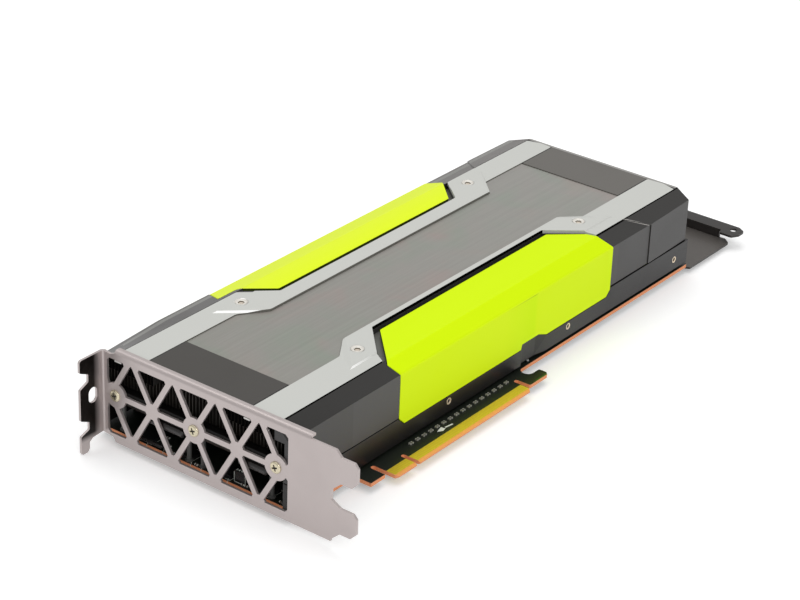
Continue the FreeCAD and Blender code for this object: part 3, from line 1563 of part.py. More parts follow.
def make_extender():
    """Folded tail bracket that reaches the card guide."""
    top_z = 0.0
    thickness = BACK_PLATE_THICKNESS
    plate_outline = [
        (EXTENDER_START_X, BOARD_LOW_Y + BACK_PLATE_MARGIN),
        (BOARD_END_X - 0.6, BOARD_LOW_Y + BACK_PLATE_MARGIN),
        (BOARD_END_X + 0.6, EXTENDER_LOW_Y),
        (EXTENDER_PLATE_END_X - 2.6, EXTENDER_LOW_Y),
        (EXTENDER_PLATE_END_X, EXTENDER_LOW_Y + 3.0),
        (EXTENDER_PLATE_END_X, EXTENDER_HIGH_Y),
        (EXTENDER_START_X, EXTENDER_HIGH_Y),
    ]
    plate = prism(plate_outline, on_z, top_z - thickness, thickness, [0, 0, 0, 1.2, 1.2, 0, 0])
    wall = box(
        (EXTENDER_PLATE_END_X - thickness, EXTENDER_WALL_LOW_Y, top_z - thickness),
        (EXTENDER_PLATE_END_X, EXTENDER_HIGH_Y - 2, EXTENDER_FLANGE_Z),
    )
    flange_outline = [
        (EXTENDER_PLATE_END_X - thickness, EXTENDER_TIP_HIGH_Y + 1.0),
        (EXTENDER_PLATE_END_X - EXTENDER_TIP_BACK, EXTENDER_TIP_HIGH_Y),
        (EXTENDER_PLATE_END_X - EXTENDER_TIP_BACK, EXTENDER_TIP_LOW_Y + 2.0),
        (EXTENDER_PLATE_END_X - 0.4, EXTENDER_TIP_LOW_Y),
        (EXTENDER_END_X - 2.2, EXTENDER_TIP_LOW_Y),
        (EXTENDER_END_X, EXTENDER_TIP_LOW_Y + 3.4),
        (EXTENDER_END_X, EXTENDER_HIGH_Y - 2),
        (EXTENDER_PLATE_END_X - thickness, EXTENDER_HIGH_Y - 2),
    ]
    flange = prism(
        flange_outline, on_z, EXTENDER_FLANGE_Z - thickness, thickness,
        [0, 0.8, 1.0, 1.0, 1.2, 1.2, 0, 0],
    )
    body = fuse_all([plate, wall, flange])
    hole_x = (EXTENDER_PLATE_END_X + EXTENDER_END_X) / 2 - 0.9
    tools = [cylinder(EXTENDER_HOLE_RADIUS, 4, (hole_x, EXTENDER_HOLE_Y, EXTENDER_FLANGE_Z - 2))]
    tail_places = [p for p in back_screw_places() if p[0] > EXTENDER_START_X]
    tools += screw_holes(tail_places, top_z - thickness - 1, 3)
    return cut_all(body, tools)


def make_back_screws():
    """Screws from below through the back plate and board into the base plate."""
    screws = []
    for x, y in back_screw_places():
        seat_z = -BACK_PLATE_THICKNESS
        if x < EXTENDER_START_X:
            seat_z -= FILM_THICKNESS
        reach = BACK_SCREW_REACH - 0.5 - seat_z
        model = plain_screw(
            BACK_SCREW_HEAD_RADIUS, BACK_SCREW_HEAD_HEIGHT, SCREW_SHANK_RADIUS, reach
        )
        screws.append(turned(model, Vector(1, 0, 0), 180, (x, y, seat_z)))
    return Part.makeCompound(screws)


def make_sink_screws():
    """Four screws from below that pull the cooler onto the processor."""
    model = plain_screw(
        BACK_SCREW_HEAD_RADIUS, BACK_SCREW_HEAD_HEIGHT, SCREW_SHANK_RADIUS, BACK_SCREW_REACH
    )
    return Part.makeCompound([
        turned(model, Vector(1, 0, 0), 180, (x, y, 0)) for x, y in sink_screw_places()
    ])


def all_parts():
    """Every node's name with its solid or group of solids."""
    rear_plate_end = SHROUD_END_X - 1.6
    front_plate_start = BRACKET_THICKNESS + INLAY_GAP
    return {
        "board": make_board(),
        "edge_contacts": make_edge_contacts(),
        "coupling_capacitors": make_coupling_capacitors(),
        "io_bracket": make_bracket(),
        "bracket_screws": make_bracket_screws(),
        "front_crossbar": make_crossbar(),
        "base_plate": make_base_plate(),
        "side_inserts": make_side_inserts(),
        "vapour_chamber": make_vapour_chamber(),
        "cooling_fins": make_fins(),
        "copper_pedestal": make_pedestal(),
        "gpu_package": make_package(),
        "gpu_die": make_die(),
        "memory_stacks": make_memory_stacks(),
        "power_chokes": make_chokes(),
        "power_switches": make_mosfets(),
        "thermal_pads": make_thermal_pads(),
        "polymer_capacitors": make_capacitors(),
        "board_chips": make_board_chips(),
        "power_socket": make_power_socket(),
        "power_pins": make_power_pins(),
        "shroud": make_shroud(),
        "low_rail": make_rail(low_rail_outline(), -1),
        "high_rail": make_rail(high_rail_outline(), 1),
        "rail_screws": make_rail_screws(),
        "centre_panel": make_centre_panel(),
        "front_plate": make_end_plate(front_plate_start, FRONT_PLATE_END_X),
        "rear_plate": make_end_plate(REAR_PLATE_START_X, rear_plate_end),
        "low_cover": make_cover(-1),
        "high_cover": make_cover(1),
        "insulating_film": make_film(),
        "back_plate": make_back_plate(),
        "tail_extender": make_extender(),
        "back_screws": make_back_screws(),
        "sink_screws": make_sink_screws(),
    }


def main():
    """Build every piece and write it to its own file."""
    os.makedirs(OUT_DIR, exist_ok=True)
    for name, shape in all_parts().items():
        placed = shape.copy()
        placed.translate(ORIGIN * -1)
        placed.exportStep(os.path.join(OUT_DIR, name + ".step"))
        print(name, len(placed.Solids), "solids", round(placed.Volume, 1), "mm3", placed.isValid())


main()
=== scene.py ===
"""Looks of a passively cooled accelerator card: finishes, small relief, light and view.

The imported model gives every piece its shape. This script dresses the pieces
with procedural finishes, softens their edges and adds the print, solder and
small parts that are too fine for the model. Places and sizes in the classes
are millimetres on the card. Depths of relief, edge radii and the studio are
metres in the model's frame, in which everything is built.
"""
import logging
import math
from collections.abc import Callable
from dataclasses import dataclass, replace
from enum import Enum

import bmesh
import bpy
from mathutils import Matrix, Vector


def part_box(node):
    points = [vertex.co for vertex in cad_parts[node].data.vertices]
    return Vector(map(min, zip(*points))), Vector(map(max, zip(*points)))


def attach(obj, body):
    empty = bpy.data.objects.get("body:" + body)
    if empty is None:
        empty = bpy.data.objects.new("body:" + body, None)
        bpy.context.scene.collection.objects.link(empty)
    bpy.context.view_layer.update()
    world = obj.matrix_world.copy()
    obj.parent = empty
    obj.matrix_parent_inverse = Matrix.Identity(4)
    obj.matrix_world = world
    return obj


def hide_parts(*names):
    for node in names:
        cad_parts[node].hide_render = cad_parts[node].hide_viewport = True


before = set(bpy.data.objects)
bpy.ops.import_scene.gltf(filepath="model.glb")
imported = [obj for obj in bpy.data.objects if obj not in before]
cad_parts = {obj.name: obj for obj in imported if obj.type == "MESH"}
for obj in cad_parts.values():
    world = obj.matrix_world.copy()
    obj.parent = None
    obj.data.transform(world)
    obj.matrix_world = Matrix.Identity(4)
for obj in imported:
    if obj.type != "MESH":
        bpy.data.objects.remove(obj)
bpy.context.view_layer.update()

Triple = tuple[float, float, float]
Colour = Triple
Linear = tuple[float, float, float, float]
Span = tuple[float, float]
Outline = Callable[[float], float]
Ring = tuple[Outline, float]
Mesh = bmesh.types.BMesh
Material = bpy.types.Material
Node = bpy.types.Node
Socket = bpy.types.NodeSocket
Sockets = bpy.types.bpy_prop_collection
Tinted = tuple[Socket, Socket | None]

LOG = logging.getLogger("card")
MM = 0.001
ROOT = "root"
WHITE = (1.0, 1.0, 1.0, 1.0)
BLACK = (0.0, 0.0, 0.0, 1.0)

BOARD_FRONT = 4.0
BOARD_TOP = 1.57
MIDDLE = 57.2
GRAIN_RANGE = (0.2, 0.8)
SMOOTH_BELOW = 32.0


def at(x: float, y: float, z: float) -> Vector:
    """Place on the card in the model's frame.

    Args:
        x: Millimetres behind the bracket's outer face.
        y: Millimetres above the lower edge of the contact tongue.
        z: Millimetres above the board's underside.

    Returns:
        The place in metres.
    """
    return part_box("board")[0] + Vector((x - BOARD_FRONT, y, z)) * MM


def level(axis: str, place: float) -> float:
    """Coordinate in metres of a place along one axis of the card."""
    return at(place, place, place)["XYZ".index(axis)]


def linear(colour: Colour) -> Linear:
    """Turn a colour as seen on a screen, 0 to 255, into scene-linear RGBA.

    Args:
        colour: Red, green and blue as displayed.

    Returns:
        The linear colour with full alpha.
    """
    shown = [channel / 255 for channel in colour]
    made = [c / 12.92 if c <= 0.04045 else ((c + 0.055) / 1.055) ** 2.4 for c in shown]
    return (made[0], made[1], made[2], 1.0)


def shade(colour: Linear, share: float, lift: float = 0.0) -> Linear:
    """Scale a linear colour and lift it, held at white."""
    return tuple(min(1.0, channel * share + lift) for channel in colour[:3]) + (1.0,)


class Graph:
    """A node tree with short calls for adding and joining nodes."""

    mix_inputs: tuple[int, int, int] = (0, 6, 7)
    mix_output: int = 2

    def __init__(self, tree: bpy.types.NodeTree) -> None:
        """Keep the tree that the calls work on."""
        self.tree = tree

    def add(self, kind: str, **settings: object) -> Node:
        """Add a node.

        Args:
            kind: Blender's name for the node type.
            settings: Properties to set on the node.

        Returns:
            The new node.
        """
        node = self.tree.nodes.new(kind)
        for key, value in settings.items():
            setattr(node, key, value)
        return node

    def plug(self, socket: Socket, value: object) -> None:
        """Link an input to another socket, or set it.

        Args:
            socket: The input.
            value: A socket to link, or a value to set.
        """
        if isinstance(value, Socket):
            self.tree.links.new(value, socket)
        else:
            socket.default_value = value

    def feed(self, node: Node, **inputs: object) -> Node:
        """Fill a node's inputs by name, with spaces written as underscores.

        Args:
            node: The node to feed.
            inputs: A socket or a value per input.

        Returns:
            The same node.
        """
        for key, value in inputs.items():
            self.plug(node.inputs[key.replace("_", " ")], value)
        return node

    def maths(self, how: str, first: object, second: object = 0.5) -> Socket:
        """Work out a number.

        Args:
            how: The operation.
            first: First socket or number.
            second: Second socket or number, if the operation has one.

        Returns:
            The result.
        """
        node = self.add("ShaderNodeMath", operation=how)
        self.plug(node.inputs[0], first)
        self.plug(node.inputs[1], second)
        return node.outputs[0]

    def spread(self, value: Socket, start: float, end: float, first: float, last: float) -> Socket:
        """Map a value from one range to another and hold it there.

        Args:
            value: The value.
            start: Where its range starts.
            end: Where its range ends.
            first: Result at the start.
            last: Result at the end.

        Returns:
            The mapped value.
        """
        node = self.add("ShaderNodeMapRange")
        self.feed(node, Value=value, From_Min=start, From_Max=end, To_Min=first, To_Max=last)
        return node.outputs[0]

    def blend(self, share: object, first: object, second: object) -> Socket:
        """Mix two colours.

        Args:
            share: Share of the second colour.
            first: First colour or socket.
            second: Second colour or socket.

        Returns:
            The mixed colour.
        """
        node = self.add("ShaderNodeMix", data_type="RGBA")
        for index, value in zip(self.mix_inputs, (share, first, second)):
            self.plug(node.inputs[index], value)
        return node.outputs[self.mix_output]

    def split(self, vector: Socket) -> Sockets:
        """Take a vector apart into X, Y and Z."""
        return self.feed(self.add("ShaderNodeSeparateXYZ"), Vector=vector).outputs


class Effect(Enum):
    """Surface effects that several finishes share, each a node group."""

    GRAIN = "fine_grain"
    BRUSHING = "brushed_lines"
    HANDLING = "handling_marks"


class EffectShelf:
    """Builds each shared effect once and places it in a material's tree."""

    mark_top: float = 0.85

    def __init__(self) -> None:
        """Start with no group built."""
        self.groups: dict[Effect, bpy.types.NodeTree] = {}

    def place(self, graph: Graph, effect: Effect, **inputs: object) -> Sockets:
        """Put an effect into a tree.

        Args:
            graph: The material's tree.
            effect: Which effect.
            inputs: Values or sockets for the group's inputs.

        Returns:
            The outputs of the placed group.
        """
        if effect not in self.groups:
            builders = {
                Effect.GRAIN: self.build_grain,
                Effect.BRUSHING: self.build_brushing,
                Effect.HANDLING: self.build_handling,
            }
            self.groups[effect] = builders[effect]()
        node = graph.add("ShaderNodeGroup", node_tree=self.groups[effect])
        return graph.feed(node, **inputs).outputs

    def start(self, effect: Effect, numbers: dict[str, float], made: list[str]) -> tuple:
        """Open a group with its sockets, the first of which is the place.

        Args:
            effect: Which effect.
            numbers: Number inputs with their defaults.
            made: Names of the number outputs.

        Returns:
            The graph, the outputs of its input node, and its output node.
        """
        tree = bpy.data.node_groups.new(effect.value, "ShaderNodeTree")
        tree.interface.new_socket("Place", in_out="INPUT", socket_type="NodeSocketVector")
        for name, default in numbers.items():
            socket = tree.interface.new_socket(name, in_out="INPUT", socket_type="NodeSocketFloat")
            socket.default_value = default
        for name in made:
            tree.interface.new_socket(name, in_out="OUTPUT", socket_type="NodeSocketFloat")
        graph = Graph(tree)
        return graph, graph.add("NodeGroupInput").outputs, graph.add("NodeGroupOutput")

    def build_grain(self) -> bpy.types.NodeTree:
        """Build the fine grain of paint, casting or blasted metal.

        Returns:
            The group.
        """
        graph, given, made = self.start(Effect.GRAIN, {"Scale": 4000.0, "Contrast": 1.0}, ["Value"])
        noise = graph.add("ShaderNodeTexNoise")
        graph.feed(noise, Vector=given["Place"], Scale=given["Scale"], Detail=3.0)
        centred = graph.maths("SUBTRACT", noise.outputs[0], 0.5)
        scaled = graph.maths("MULTIPLY", centred, given["Contrast"])
        graph.feed(made, Value=graph.maths("ADD", scaled, 0.5))
        return graph.tree

    def build_brushing(self) -> bpy.types.NodeTree:
        """Build the long fine lines of brushed sheet, along X, and their wide bands.

        Returns:
            The group.
        """
        graph, given, made = self.start(
            Effect.BRUSHING, {"Along": 60.0, "Across": 9000.0}, ["Value", "Band"]
        )
        parts = graph.split(given["Place"])
        stretched = graph.add("ShaderNodeCombineXYZ")
        for axis, scale in (("X", "Along"), ("Y", "Across"), ("Z", "Across")):
            graph.feed(stretched, **{axis: graph.maths("MULTIPLY", parts[axis], given[scale])})
        lines = graph.add("ShaderNodeTexNoise")
        graph.feed(lines, Vector=stretched.outputs[0], Scale=1.0, Detail=4.0, Roughness=0.65)
        wide = graph.add("ShaderNodeVectorMath", operation="SCALE")
        graph.feed(wide, Vector=stretched.outputs[0], Scale=0.08)
        bands = graph.add("ShaderNodeTexNoise")
        graph.feed(bands, Vector=wide.outputs[0], Scale=1.0, Detail=2.0)
        graph.feed(made, Value=lines.outputs[0], Band=bands.outputs[0])
        return graph.tree

    def build_handling(self) -> bpy.types.NodeTree:
        """Build the soft cloudy marks left by hands and cloths.

        Returns:
            The group.
        """
        graph, given, made = self.start(Effect.HANDLING, {"Scale": 30.0, "Reach": 0.5}, ["Mask"])
        clouds = graph.add("ShaderNodeTexNoise")
        graph.feed(
            clouds, Vector=given["Place"], Scale=given["Scale"], Detail=6.0, Distortion=0.6
        )
        low = graph.maths("SUBTRACT", self.mark_top, given["Reach"])
        node = graph.add("ShaderNodeMapRange", interpolation_type="SMOOTHSTEP")
        graph.feed(node, Value=clouds.outputs[0], From_Min=low, From_Max=self.mark_top)
        graph.feed(made, Mask=node.outputs[0])
        return graph.tree


SHELF = EffectShelf()


class Draft(Graph):
    """A material being built round its main shader."""

    def __init__(self, name: str) -> None:
        """Open a material and find its shader and object coordinates.

        Args:
            name: The material's name.
        """
        self.material = bpy.data.materials.new(name)
        self.material.use_nodes = True
        super().__init__(self.material.node_tree)
        self.shader = self.tree.nodes["Principled BSDF"]
        self.place = self.add("ShaderNodeTexCoord").outputs["Object"]

    def finish(self, **inputs: object) -> Material:
        """Feed the shader and return the material."""
        self.feed(self.shader, **inputs)
        return self.material

    def effect(self, effect: Effect, **inputs: object) -> Sockets:
        """Place a shared effect, at the object's coordinates if no others are given."""
        return SHELF.place(self, effect, **{"Place": self.place, **inputs})

    def bump(self, height: Socket, depth: float) -> Socket:
        """Turn a height into a normal, with its depth in metres."""
        return self.feed(self.add("ShaderNodeBump"), Height=height, Distance=depth).outputs[0]

    def facing(self, axis: str) -> Socket:
        """How far the surface faces along an axis, from -1 to 1."""
        return self.split(self.add("ShaderNodeNewGeometry").outputs["True Normal"])[axis]

    def along(self, axis: str) -> Socket:
        """Distance along an axis of the model, in metres."""
        return self.split(self.place)[axis]

    def over(self, value: Socket, limit: float) -> Socket:
        """Mask of the places where a value is above a limit."""
        return self.maths("GREATER_THAN", value, limit)

    def under(self, value: Socket, limit: float) -> Socket:
        """Mask of the places where a value is below a limit."""
        return self.maths("LESS_THAN", value, limit)

    def both(self, first: Socket, second: Socket | float) -> Socket:
        """Mask of the places that two masks share."""
        return self.maths("MULTIPLY", first, second)

    def either(self, first: Socket, second: Socket) -> Socket:
        """Mask of the places that lie in one of two masks."""
        return self.maths("MAXIMUM", first, second)

    def within(self, value: Socket, low: float, high: float) -> Socket:
        """Mask of the places where a value lies between two limits."""
        return self.both(self.over(value, low), self.under(value, high))

    def past(self, axis: str, place: float) -> Socket:
        """Mask of what lies beyond a place on the card."""
        return self.over(self.along(axis), level(axis, place))

    def short_of(self, axis: str, place: float) -> Socket:
        """Mask of what lies before a place on the card."""
        return self.under(self.along(axis), level(axis, place))

    def band(self, axis: str, low: float, high: float) -> Socket:
        """Mask of what lies between two places on the card."""
        return self.within(self.along(axis), level(axis, low), level(axis, high))

    def fade(self, axis: str, start: float, end: float, first: float, last: float) -> Socket:
        """Number that goes from a first to a last value between two places on the card."""
        return self.spread(self.along(axis), level(axis, start), level(axis, end), first, last)


@dataclass(frozen=True)
class Finish:
    """A surface finish with its main colour."""

    name: str
    colour: Colour

    def build(self) -> Material:
        """Build the material."""
        raise NotImplementedError(self.name)

    def at_edges(self, colour: Colour) -> Material:
        """Build the same finish in the colour of its rounded edges: a painted highlight on most
        pieces, painted shade on dark ones.
        """
        return replace(self, name=self.name + "_edge", colour=colour).build()


@dataclass(frozen=True)
class Coat(Finish):
    """A finish with fine grain and soft handling marks, by itself a sprayed paint."""

    roughness: float = 0.4
    metallic: float = 0.0
    shine: float = 0.5
    tone: float = 0.08
    # Share of the colour at the handling marks.
    wear_and_painted_edges: float = 0.8
    marks: float = 0.12
    marks_rough: float = 0.08
    marks_scale: float = 28.0
    marks_reach: float = 0.45
    grain_scale: float = 3000.0
    grain_contrast: float = 1.0
    grain_depth: float = 0.000006
    rough_span: Span = (0.04, 0.05)

    def tones(self) -> tuple[Span, Span]:
        """Shares of the colour across the grain, and its share and lift at the marks."""
        return (1 - self.tone, 1 + self.tone), (self.wear_and_painted_edges, 0.0)

    def tint(self, draft: Draft, colour: Socket) -> Tinted:
        """Change the colour over the piece; a plain coat has no change.

        Args:
            draft: The material being built.
            colour: The grained and marked colour.

        Returns:
            The changed colour, and a mask of the places of painted deep shade, which mirror
            nothing.
        """
        return colour, None

    def build(self) -> Material:
        """Build the material.

        Returns:
            A material of this coat.
        """
        draft = Draft(self.name)
        grain = draft.effect(Effect.GRAIN, Scale=self.grain_scale, Contrast=self.grain_contrast)
        grain = grain["Value"]
        marks = draft.effect(Effect.HANDLING, Scale=self.marks_scale, Reach=self.marks_reach)
        marks = marks["Mask"]
        base = linear(self.colour)
        (deep, high), wear_and_painted_edges = self.tones()
        toned = draft.blend(grain, shade(base, deep), shade(base, high))
        marked = draft.blend(draft.both(marks, self.marks), toned, shade(base, *wear_and_painted_edges))
        less, more = self.rough_span
        rough = draft.spread(grain, *GRAIN_RANGE, self.roughness - less, self.roughness + more)
        if self.marks_rough:
            rough = draft.maths("ADD", rough, draft.both(marks, self.marks_rough))
        colour, black = self.tint(draft, marked)
        # Places of painted deep shade turn rough and fully metallic over their dark colour, so they
        # mirror nothing.
        if black is not None:
            rough = draft.either(rough, black)
        return draft.finish(
            Base_Color=colour,
            Roughness=rough,
            Metallic=self.metallic if black is None else black,
            Specular_IOR_Level=self.shine,
            Normal=draft.bump(grain, self.grain_depth),
        )


@dataclass(frozen=True)
class DuctPaint(Coat):
    """Dark cover paint: facets painted lighter or darker as lit, painted shade in its joints,
    painted fins at the air opening.
    """

    rail_edges: Span = (19.4, 95.0)
    slope: Span = (0.25, 0.97)
    square: float = 0.9
    low_fade: tuple[float, float, float, float] = (60.0, 90.0, 0.5, 0.3)
    low_slope_shade: Colour = (22, 21, 19)
    high_fade: tuple[float, float, float, float] = (60.0, 240.0, 0.1, 0.75)
    high_slope_light: Colour = (96, 91, 87)
    side_span: Span = (36.0, 150.0)
    side: Colour = (66, 65, 65)
    block_start: float = 210.0
    block: Colour = (24, 22, 23)
    side_share: float = 0.4
    groove: Span = (32.5, 33.5)
    lit_groove_floor: Colour = (112, 112, 106)
    seam: float = 13.4
    seam_turn: float = 0.5
    joint: float = 0.45
    joint_lap: float = 0.02
    joint_shade: Colour = (10, 9, 9)
    edge_top: Span = (222.0, 19.4)
    edge_side: Span = (233.0, 12.6)
    edge_width: float = 0.7
    edge_highlight: Colour = (170, 166, 162)
    rear_rim: float = 262.8
    rear_turn: float = 0.3
    rear_light: Colour = (150, 148, 144)
    front_depth: float = 2.0
    front_turn: float = 0.7
    front: Colour = (36, 33, 34)
    opening: Span = (20.0, 99.0)
    fin_pitch: float = 1.6
    fin_edge: Span = (0.14, 0.2)
    fin_gap_shade: Colour = (5, 5, 5)
    fin_light: Colour = (40, 36, 32)

    def tint(self, draft: Draft, colour: Socket) -> Tinted:
        """Paint light and shade on the facets, shade in the joints and on the front, and painted
        fins on the air opening's rim.

        Args:
            draft: The material being built.
            colour: The grained and marked colour.

        Returns:
            The changed colour, and a mask of the painted shade in the joints and on the rim.
        """
        across = draft.facing("Y")
        sloped = draft.within(draft.facing("Z"), *self.slope)
        low = draft.both(sloped, draft.under(across, -self.slope[0]))
        high = draft.both(sloped, draft.over(across, self.slope[0]))
        made = self.shade_facets(draft, colour, low, high)
        black = self.find_shaded_gaps(draft, sloped)
        # Painted shade in the joints beside the rails and in the seam above the base.
        made = draft.blend(black, made, linear(self.joint_shade))
        made = self.light_edges(draft, made, low)
        # Painted shade on the front faces just behind the bracket.
        front = draft.both(
            draft.under(draft.facing("X"), -self.front_turn),
            draft.short_of("X", self.front_depth),
        )
        made = draft.blend(front, made, linear(self.front))
        # The air opening's rim gets painted fins: lit edges of fins with painted shade between
        # them.
        rim = draft.both(front, draft.band("Y", *self.opening))
        turns = draft.maths("MULTIPLY", draft.along("Y"), 1 / (self.fin_pitch * MM))
        stripe = draft.spread(draft.maths("FRACT", turns), *self.fin_edge, 1.0, 0.0)
        fins = draft.blend(stripe, linear(self.fin_gap_shade), linear(self.fin_light))
        return draft.blend(rim, made, fins), draft.either(rim, black)

    def shade_facets(self, draft: Draft, colour: Socket, low: Socket, high: Socket) -> Socket:
        """Paint light and shade on each facet by the way it faces, and paint the groove's floor as
        lit.

        Args:
            draft: The material being built.
            colour: The paint's colour.
            low: Mask of the slopes that face the low side.
            high: Mask of the slopes that face the high side.

        Returns:
            The shaded colour.
        """
        side = draft.over(draft.maths("ABSOLUTE", draft.facing("Y")), self.square)
        beyond = draft.both(draft.band("X", *self.side_span), self.side_share)
        block = draft.both(draft.past("X", self.block_start), self.side_share)
        floor = draft.over(draft.facing("Z"), self.square)
        # Painted light and shade: slopes, upright sides and the rear block's sides get shades for
        # how light falls, the groove's floor a lit colour.
        made = colour
        for mask, share, shown in (
            (low, draft.fade("X", *self.low_fade), self.low_slope_shade),
            (high, draft.fade("X", *self.high_fade), self.high_slope_light),
            (side, beyond, self.side),
            (side, block, self.block),
            (floor, draft.band("Z", *self.groove), self.lit_groove_floor),
        ):
            made = draft.blend(draft.both(mask, share), made, linear(shown))
        return made

    def find_shaded_gaps(self, draft: Draft, sloped: Socket) -> Socket:
        """Find the joints beside the rails and the seam above the base, which get painted shade.

        Args:
            draft: The material being built.
            sloped: Mask of all slopes.

        Returns:
            The mask.
        """
        low, high = self.rail_edges
        beside = draft.either(
            draft.band("Y", low - self.joint, low + self.joint_lap),
            draft.band("Y", high - self.joint_lap, high + self.joint),
        )
        upright = draft.under(draft.maths("ABSOLUTE", draft.facing("Z")), self.seam_turn)
        seam = draft.both(draft.short_of("Z", self.seam + self.joint), upright)
        return draft.either(draft.both(beside, sloped), seam)

    def light_edges(self, draft: Draft, colour: Socket, low: Socket) -> Socket:
        """Paint a highlight along the slanted edge of the rear block, and lighten the rear rim.

        Args:
            draft: The material being built.
            colour: The colour so far.
            low: Mask of the slopes that face the low side.

        Returns:
            The changed colour.
        """
        slant = (self.edge_side[0] - self.edge_top[0]) / (self.edge_top[1] - self.edge_side[1])
        start = at(*self.edge_top, 0)
        slid = draft.maths("MULTIPLY", draft.along("Y"), slant)
        across = draft.maths("ADD", draft.along("X"), slid)
        edge = start.x + slant * start.y
        step = draft.within(across, edge, edge + self.edge_width * MM)
        # Painted highlight along the rear block's slanted edge.
        made = draft.blend(draft.both(low, step), colour, linear(self.edge_highlight))
        upward = draft.over(draft.facing("Z"), self.rear_turn)
        rear = draft.both(upward, draft.band("Y", *self.rail_edges))
        rear = draft.both(draft.past("X", self.rear_rim), rear)
        return draft.blend(rear, made, linear(self.rear_light))


@dataclass(frozen=True)
class SidePaint(Coat):
    """Bright paint of the side covers: painted light makes it paler high up, painted shade darkens
    walls at the groove.
    """

    side: Colour = (226, 255, 20)
    side_fade: Span = (-0.85, -0.75)
    pocket: Colour = (218, 254, 0)
    pocket_edge_shade: Colour = (194, 228, 8)
    pocket_x: Triple = (130.0, 150.0, 152.4)
    pocket_top: float = 31.4
    pocket_fade: float = 0.4
    line_reach: Span = (0.3, 0.2)
    top_turn: float = 0.2
    wall_turn: float = 0.5
    far_top_light: Colour = (231, 252, 36)
    far_slope_light: Colour = (229, 247, 64)
    far_fade: Span = (86.0, 100.0)
    wall: Colour = (70, 84, 20)

    def tint(self, draft: Draft, colour: Socket) -> Tinted:
        """Paint light and shade by the direction of each facet, and paint the shade of a shallow
        pocket.

        Args:
            draft: The material being built.
            colour: The grained and marked colour.

        Returns:
            The changed colour and no mask.
        """
        across = draft.facing("Y")
        far = draft.past("Y", MIDDLE)
        near = draft.maths("SUBTRACT", 1.0, far)
        low_side = draft.both(near, draft.spread(across, *self.side_fade, 1.0, 0.0))
        # Painted light on the low cover's side faces.
        made = draft.blend(low_side, colour, linear(self.side))
        # Painted shade of a shallow pocket in the low cover's side, with a darker painted crease
        # along its top.
        start, deepest, end = self.pocket_x
        deep = draft.fade("X", start, deepest, 0.0, 1.0)
        deep = draft.both(low_side, draft.both(deep, draft.fade("X", deepest, end, 1.0, 0.0)))
        top = self.pocket_top
        below = draft.both(deep, draft.fade("Z", top - self.pocket_fade, top, 1.0, 0.0))
        made = draft.blend(below, made, linear(self.pocket))
        under, over = self.line_reach
        line = draft.both(deep, draft.band("Z", top - under, top + over))
        made = draft.blend(line, made, linear(self.pocket_edge_shade))
        # Painted light on the far cover's top and slope, changing across its width.
        share = draft.fade("Y", *self.far_fade, 0.0, 1.0)
        pale = draft.blend(share, linear(self.far_top_light), linear(self.far_slope_light))
        upward = draft.over(draft.facing("Z"), self.top_turn)
        made = draft.blend(draft.both(far, upward), made, pale)
        # Painted shade on the covers' walls that face the groove.
        wall = draft.either(
            draft.both(far, draft.under(across, -self.wall_turn)),
            draft.both(near, draft.over(across, self.wall_turn)),
        )
        return draft.blend(wall, made, linear(self.wall)), None


@dataclass(frozen=True)
class RailPaint(Coat):
    """Silver paint with painted shade on its walls and a painted highlight on its front ramps."""

    lit: Colour = (254, 254, 252)
    wall: Colour = (16, 16, 14)
    low_wall_shade: Colour = (88, 88, 84)
    inner_wall_shade: Colour = (114, 112, 106)
    shade_end: float = 35.5
    near_fade: Span = (48.0, 62.0)
    far_end: float = 66.0
    ramp: Span = (0.7, 0.995)
    ramp_turn: float = 0.05
    upright: float = 0.75

    def tint(self, draft: Draft, colour: Socket) -> Tinted:
        """Paint a highlight on the ramps at the front and paint shade on the walls along the card.

        Args:
            draft: The material being built.
            colour: The grained and marked colour.

        Returns:
            The changed colour, and a mask of the upper outer walls, painted black as shade.
        """
        across = draft.facing("Y")
        ramp = draft.both(
            draft.under(across, -self.ramp_turn), draft.within(draft.facing("Z"), *self.ramp)
        )
        far = draft.both(draft.past("Y", MIDDLE), draft.short_of("X", self.far_end))
        lit = draft.either(draft.fade("X", *self.near_fade, 1.0, 0.0), far)
        # Painted highlight on the front ramps.
        made = draft.blend(draft.both(ramp, lit), colour, linear(self.lit))
        off_middle = draft.maths("SUBTRACT", draft.along("Y"), level("Y", MIDDLE))
        outward = draft.both(off_middle, across)
        wall = draft.over(draft.maths("ABSOLUTE", across), self.upright)
        inner = draft.both(wall, draft.under(outward, 0.0))
        outer = draft.both(wall, draft.over(outward, 0.0))
        low = draft.both(outer, draft.short_of("Z", self.shade_end))
        # Painted shade on the walls: black on the outer walls above the groove, grey lower down and
        # on the inner walls.
        walls = ((inner, self.inner_wall_shade), (outer, self.wall), (low, self.low_wall_shade))
        for mask, shown in walls:
            made = draft.blend(mask, made, linear(shown))
        return made, draft.maths("SUBTRACT", outer, low)


@dataclass(frozen=True)
class PlatePaint(Coat):
    """Plate paint with painted shade in the joint along both rails."""

    node: str = "front_plate"
    joint: float = 0.4
    gap_shade: Colour = (24, 23, 22)

    def tint(self, draft: Draft, colour: Socket) -> Tinted:
        """Paint shade on the plate beside the rails, where it meets them.

        Args:
            draft: The material being built.
            colour: The grained and marked colour.

        Returns:
            The changed colour and no mask.
        """
        low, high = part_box(self.node)
        joint = self.joint * MM
        open_part = draft.within(draft.along("Y"), low.y + joint, high.y - joint)
        return draft.blend(open_part, linear(self.gap_shade), colour), None


@dataclass(frozen=True)
class TailPaint(Coat):
    """Paint of the tail extender, paler on its low sheet."""

    low_sheet: Colour = (92, 88, 84)
    sheet_top: float = 2.6
    sheet_turn: float = 0.5

    def tint(self, draft: Draft, colour: Socket) -> Tinted:
        """Make the low sheet paler.

        Args:
            draft: The material being built.
            colour: The grained and marked colour.

        Returns:
            The changed colour and no mask.
        """
        low = draft.both(
            draft.short_of("Z", self.sheet_top),
            draft.over(draft.facing("Z"), self.sheet_turn),
        )
        return draft.blend(low, colour, linear(self.low_sheet)), None


